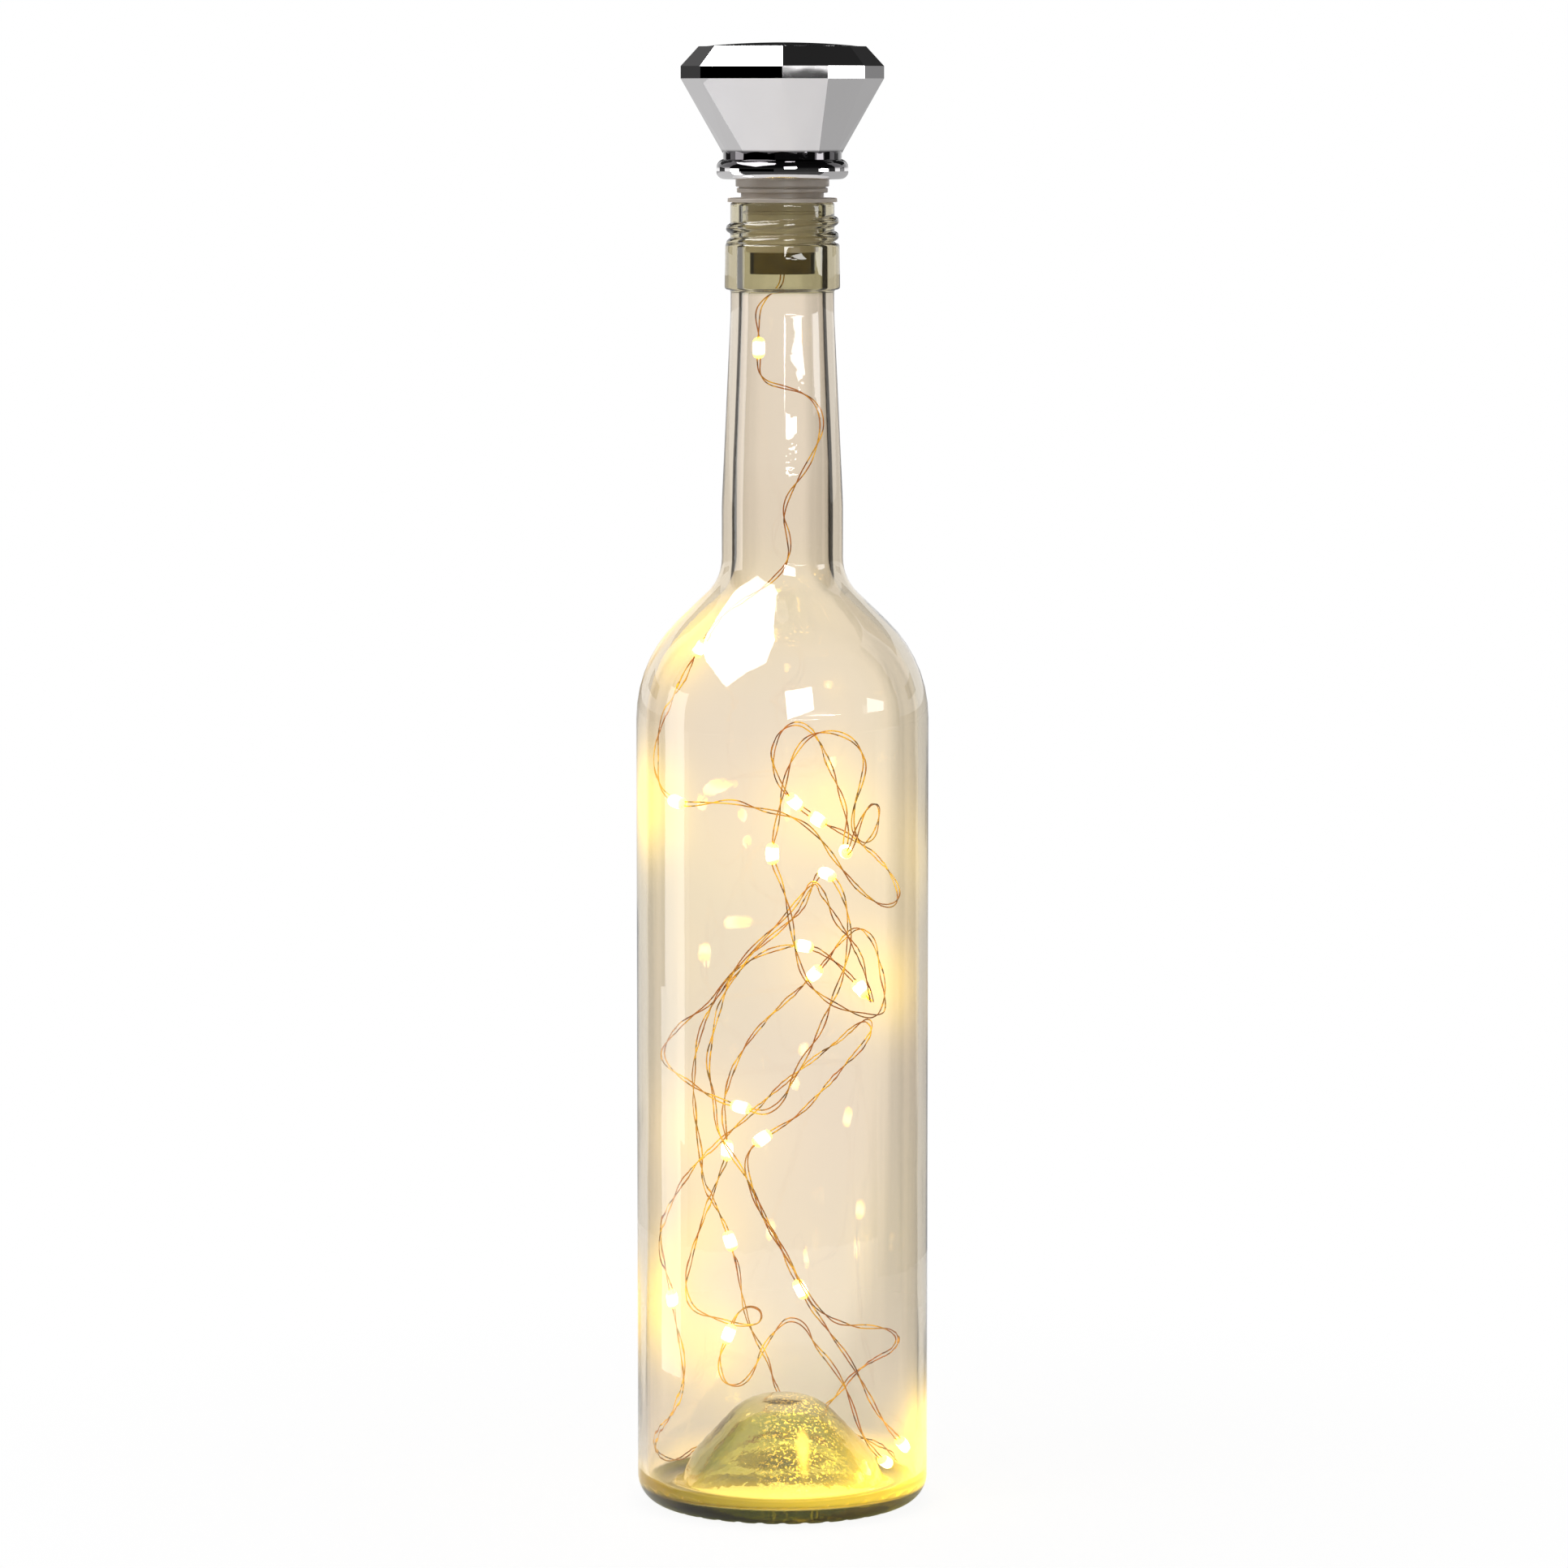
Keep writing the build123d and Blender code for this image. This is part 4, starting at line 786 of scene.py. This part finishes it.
# Electronics: the driver, inductor and capacitor are soldered on the board in the head, the
# slide switch sits behind a back facet, and thin insulated leads join them all.
moulded.dress("driver_chip", "switch_body", "switch_knob")

can = Finish("aluminium_can", Metallic=1.0)
can.patchy(can.mottle(1100, 2), (0.7, 0.7, 0.72), (0.84, 0.84, 0.86), 0.2, 0.2)
can.dress("capacitor")

sheath = Finish("lead_insulation", Coat_Weight=0.2)
sheath.patchy(sheath.mottle(500, 2), (0.36, 0.03, 0.025), (0.52, 0.06, 0.05), 0.2, 0.35)
sheath.dress("feed_wires", "battery_leads", "panel_leads", "switch_leads")

# Studio: a pale floor under a white surround, with soft lamps to the left and overhead. Cards that
# only reflections see shape the chrome and the shine of the glass. The backdrop is seen only
# through glass, and its black flags draw the dark lines in the edges of the glass.
floor_reach = 12
just_over_floor = 0.002
head_centre = Vector((0, 0, 0.345))
room_reach = 3.2
backdrop_reach = 3.1
backdrop_height = 3.2


def sides_of_set(finish):
    """How white the set is in each direction: full straight behind the bottle, dimmer beside
    that, most of all on the right, and nearly black at a flag on either side."""
    place = finish.node("ShaderNodeSeparateXYZ", {}, {0: finish.place()})
    aside = finish.maths("ARCTAN2", place["X"], place["Y"])
    turned = finish.maths("ABSOLUTE", aside)
    flagged = turned.between(0.7, 0.8) * (1 - turned.between(1.2, 1.35)) * 0.97
    dimmed = turned.between(0.08, 0.16) * (0.1 + aside.between(-0.1, 0.1) * 0.12)
    return 1 - finish.maths("MAXIMUM", flagged, dimmed)


def white_part(finish, share):
    """Light of this share of full white."""
    dark = finish.node("ShaderNodeEmission", {}, {"Color": (0, 0, 0), "Strength": 0})
    lit = finish.node("ShaderNodeEmission", {}, {"Color": (1, 1, 1), "Strength": 1})
    return finish.node("ShaderNodeMixShader", {}, {0: share, 1: dark, 2: lit})


floor_sheet = bpy.data.meshes.new("floor")
floor_sheet.from_pydata([(-floor_reach, -floor_reach, 0), (floor_reach, -floor_reach, 0),
                         (floor_reach, floor_reach, 0), (-floor_reach, floor_reach, 0)],
                        [], [(0, 1, 2, 3)])
floor = bpy.data.objects.new("floor", floor_sheet)
scene.collection.objects.link(floor)
pale = Finish("floor_card", Roughness=0.9)
pale.set(Base_Color=pale.mix(pale.mottle(30, 2), (0.82, 0.815, 0.82), (0.85, 0.845, 0.85)))
paths = pale.node("ShaderNodeLightPath", {}, {})
far = pale.length(pale.place()).between(0.05, 0.3)
seen = paths["Is Camera Ray"] * (0.92 + far * 0.08) + paths["Is Transmission Ray"] * far
set_sides = 1 - paths["Is Transmission Ray"] * (1 - sides_of_set(pale))
own = Signal(pale, pale.surface.outputs[0])
pale.show(pale.node("ShaderNodeMixShader", {}, {0: seen, 1: own, 2: white_part(pale, set_sides)}))
floor_sheet.materials.append(pale.material)


def towards(azimuth, elevation, distance):
    """A place seen from the head: azimuth 0 is the camera's side, 90 the right."""
    turn, rise = math.radians(azimuth), math.radians(elevation)
    flat = math.cos(rise)
    way = Vector((math.sin(turn) * flat, -math.cos(turn) * flat, math.sin(rise)))
    return head_centre + way * distance


def round_bottle(azimuth, distance, height):
    """A place at this height and distance from the bottle's axis."""
    turn = math.radians(azimuth)
    return Vector((math.sin(turn) * distance, -math.cos(turn) * distance, height))


def lit_paper(name, level):
    """A paper that shines evenly."""
    paper = Finish(name)
    paper.show(paper.node("ShaderNodeEmission", {}, {"Color": (1, 1, 1), "Strength": level}))
    return paper


def hang(name, columns, rows, place, paper, through_glass=False):
    """A curved sheet, given by its place at steps from 0 to 1 each way. Only reflections see it,
    or only rays that pass through glass."""
    points = [place(i / columns, j / rows) for j in range(rows + 1) for i in range(columns + 1)]
    row = columns + 1
    faces = [(j * row + i, j * row + i + 1, (j + 1) * row + i + 1, (j + 1) * row + i)
             for j in range(rows) for i in range(columns)]
    sheet = bpy.data.meshes.new(name)
    sheet.from_pydata(points, [], faces)
    sheet.materials.append(paper.material)
    hung = bpy.data.objects.new(name, sheet)
    scene.collection.objects.link(hung)
    hung.visible_camera = False
    hung.visible_diffuse = False
    hung.visible_glossy = not through_glass
    hung.visible_transmission = through_glass
    hung.visible_shadow = False


def pane(name, distance, level, lower, upper):
    """A bright panel between two edges, each given by azimuth and elevation at even steps."""
    spans = len(lower) - 1

    def place(i, j):
        k = min(int(i * spans), spans - 1)
        ends = [Vector(edge[k]).lerp(Vector(edge[k + 1]), i * spans - k)
                for edge in (lower, upper)]
        return towards(*ends[0].lerp(ends[1], j), distance)
    hang(name, spans * 6, 6, place, lit_paper(name, level))


def card(name, azimuth, elevation, distance, width, height, level):
    """A flat card that faces the head."""
    spot = towards(azimuth, elevation, distance)
    turn = (spot - head_centre).to_track_quat("Z", "Y").to_matrix()

    def place(i, j):
        return spot + turn @ Vector(((i - 0.5) * width, (j - 0.5) * height, 0))
    hang(name, 1, 1, place, lit_paper(name, level))


def ground(name, start, end, inner, outer, level):
    """A part of the floor between two azimuths, as reflections show it."""
    def place(i, j):
        reach = inner + (outer - inner) * j
        return round_bottle(start + (end - start) * i, reach, just_over_floor)
    hang(name, 32, 1, place, lit_paper(name, level))


def upright(name, azimuth, spread, distance, low, high, level):
    """A narrow white card that stands beside the bottle."""
    def place(i, j):
        return round_bottle(azimuth + spread * (i - 0.5), distance, low + (high - low) * j)
    hang(name, 6, 1, place, lit_paper(name, level))


hang("dark_room", 24, 12, lambda i, j: towards(-105 + 210 * i, -6 + 91 * j, room_reach),
     lit_paper("dark_room", 0.03))
ground("dark_ground", -78, 78, 0.42, 3.18, 0.06)
curtain = Finish("backdrop")
curtain.show(white_part(curtain, sides_of_set(curtain)))
hang("backdrop", 40, 1,
     lambda i, j: round_bottle(80 + 200 * i, backdrop_reach, backdrop_height * j),
     curtain, through_glass=True)
ground("left_ground", -180, -78, 0.42, 3.1, 0.6)
ground("right_ground", 78, 180, 0.36, 3.1, 0.44)
upright("strip_low", -92, 22, 0.2, 0.003, 0.11, 3.4)
upright("strip_high", -92, 22, 0.5, 0.02, 0.345, 3.4)
pane("box_left_top", 1.6, 12,
     ((-168, 38), (-150, 40), (-125, 44), (-100, 39.5), (-71, 33), (-49, 23), (-36, 38), (-18, 49)),
     ((-168, 87), (-150, 87), (-125, 86), (-100, 85), (-71, 84), (-49, 83), (-36, 80), (-18, 74)))
pane("box_front", 1.9, 16, ((3.8, 0.2), (25, 7.9)), ((2.1, 24.7), (25.8, 27.9)))
pane("slit_front", 1.9, 14, ((6.4, -0.1), (29, -0.25)), ((6.5, 0.35), (29.6, 0.2)))
pane("slit_right", 1.1, 12, ((33.9, -0.75), (48.4, -0.85)), ((16, 0.1), (37.8, 0.6)))
pane("box_right", 1.1, 7, ((69.4, -1.5), (85.5, -2.7)), ((71.9, 8.3), (87.8, 3)))
for entry in (
    ("flag_left", -50, 0.9, 1.2, 1.7, 0.12, 0),
    ("flag_right_low", 26, 0.143, 1.2, 0.4, 0.03, 0.05),
    ("flag_back", 180, 13, 1.2, 0.5, 0.5, 0.02),
    ("white_right_thin", 26, 2.054, 1.2, 0.4, 0.05, 1.3),
    ("white_right", 77, 1.6, 1.25, 0.5, 0.14, 1.3),
    ("grey_right", 129, 1.6, 1.25, 0.4, 0.14, 0.25),
    ("grey_left", -131, 1.6, 1.3, 0.5, 0.14, 0.05),
    ("flag_right", 105, 62, 1.1, 1.0, 0.9, 0.02),
    ("flag_right_back", 148, 26, 1.3, 0.7, 0.5, 0.03),
    ("flag_left_back", -152, 26, 1.3, 0.6, 0.5, 0.1),
):
    card(*entry)

for name, azimuth, elevation, distance, width, tall, power in (
    ("lamp_left", -50, 38, 1.6, 0.9, 0.7, 9),
    ("lamp_top", 20, 78, 1.6, 1.4, 1.4, 10),
):
    light = bpy.data.lights.new(name, "AREA")
    light.shape = "RECTANGLE"
    light.size = width
    light.size_y = tall
    light.energy = power
    lamp = bpy.data.objects.new(name, light)
    scene.collection.objects.link(lamp)
    lamp.location = towards(azimuth, elevation, distance)
    lamp.rotation_euler = (lamp.location - head_centre).to_track_quat("Z", "Y").to_euler()
    lamp.visible_glossy = False
    lamp.visible_transmission = False

sky = bpy.data.worlds.new("surround")
sky.use_nodes = True
scene.world = sky
air = Recipe(sky.node_tree)
rays = air.node("ShaderNodeLightPath", {}, {})
direct = rays["Is Camera Ray"] + rays["Is Glossy Ray"] + rays["Is Transmission Ray"]
plain = air.node("ShaderNodeBackground", {}, {"Color": (1, 1, 1), "Strength": 0.42})
white = air.node("ShaderNodeBackground", {}, {"Color": (1, 1, 1), "Strength": 1})
surround = air.node("ShaderNodeMixShader", {},
                    {0: air.maths("MINIMUM", direct, 1), 1: plain, 2: white})
air.feed(sky.node_tree.nodes["World Output"].inputs["Surface"], surround)

scene.view_settings.view_transform = "Standard"
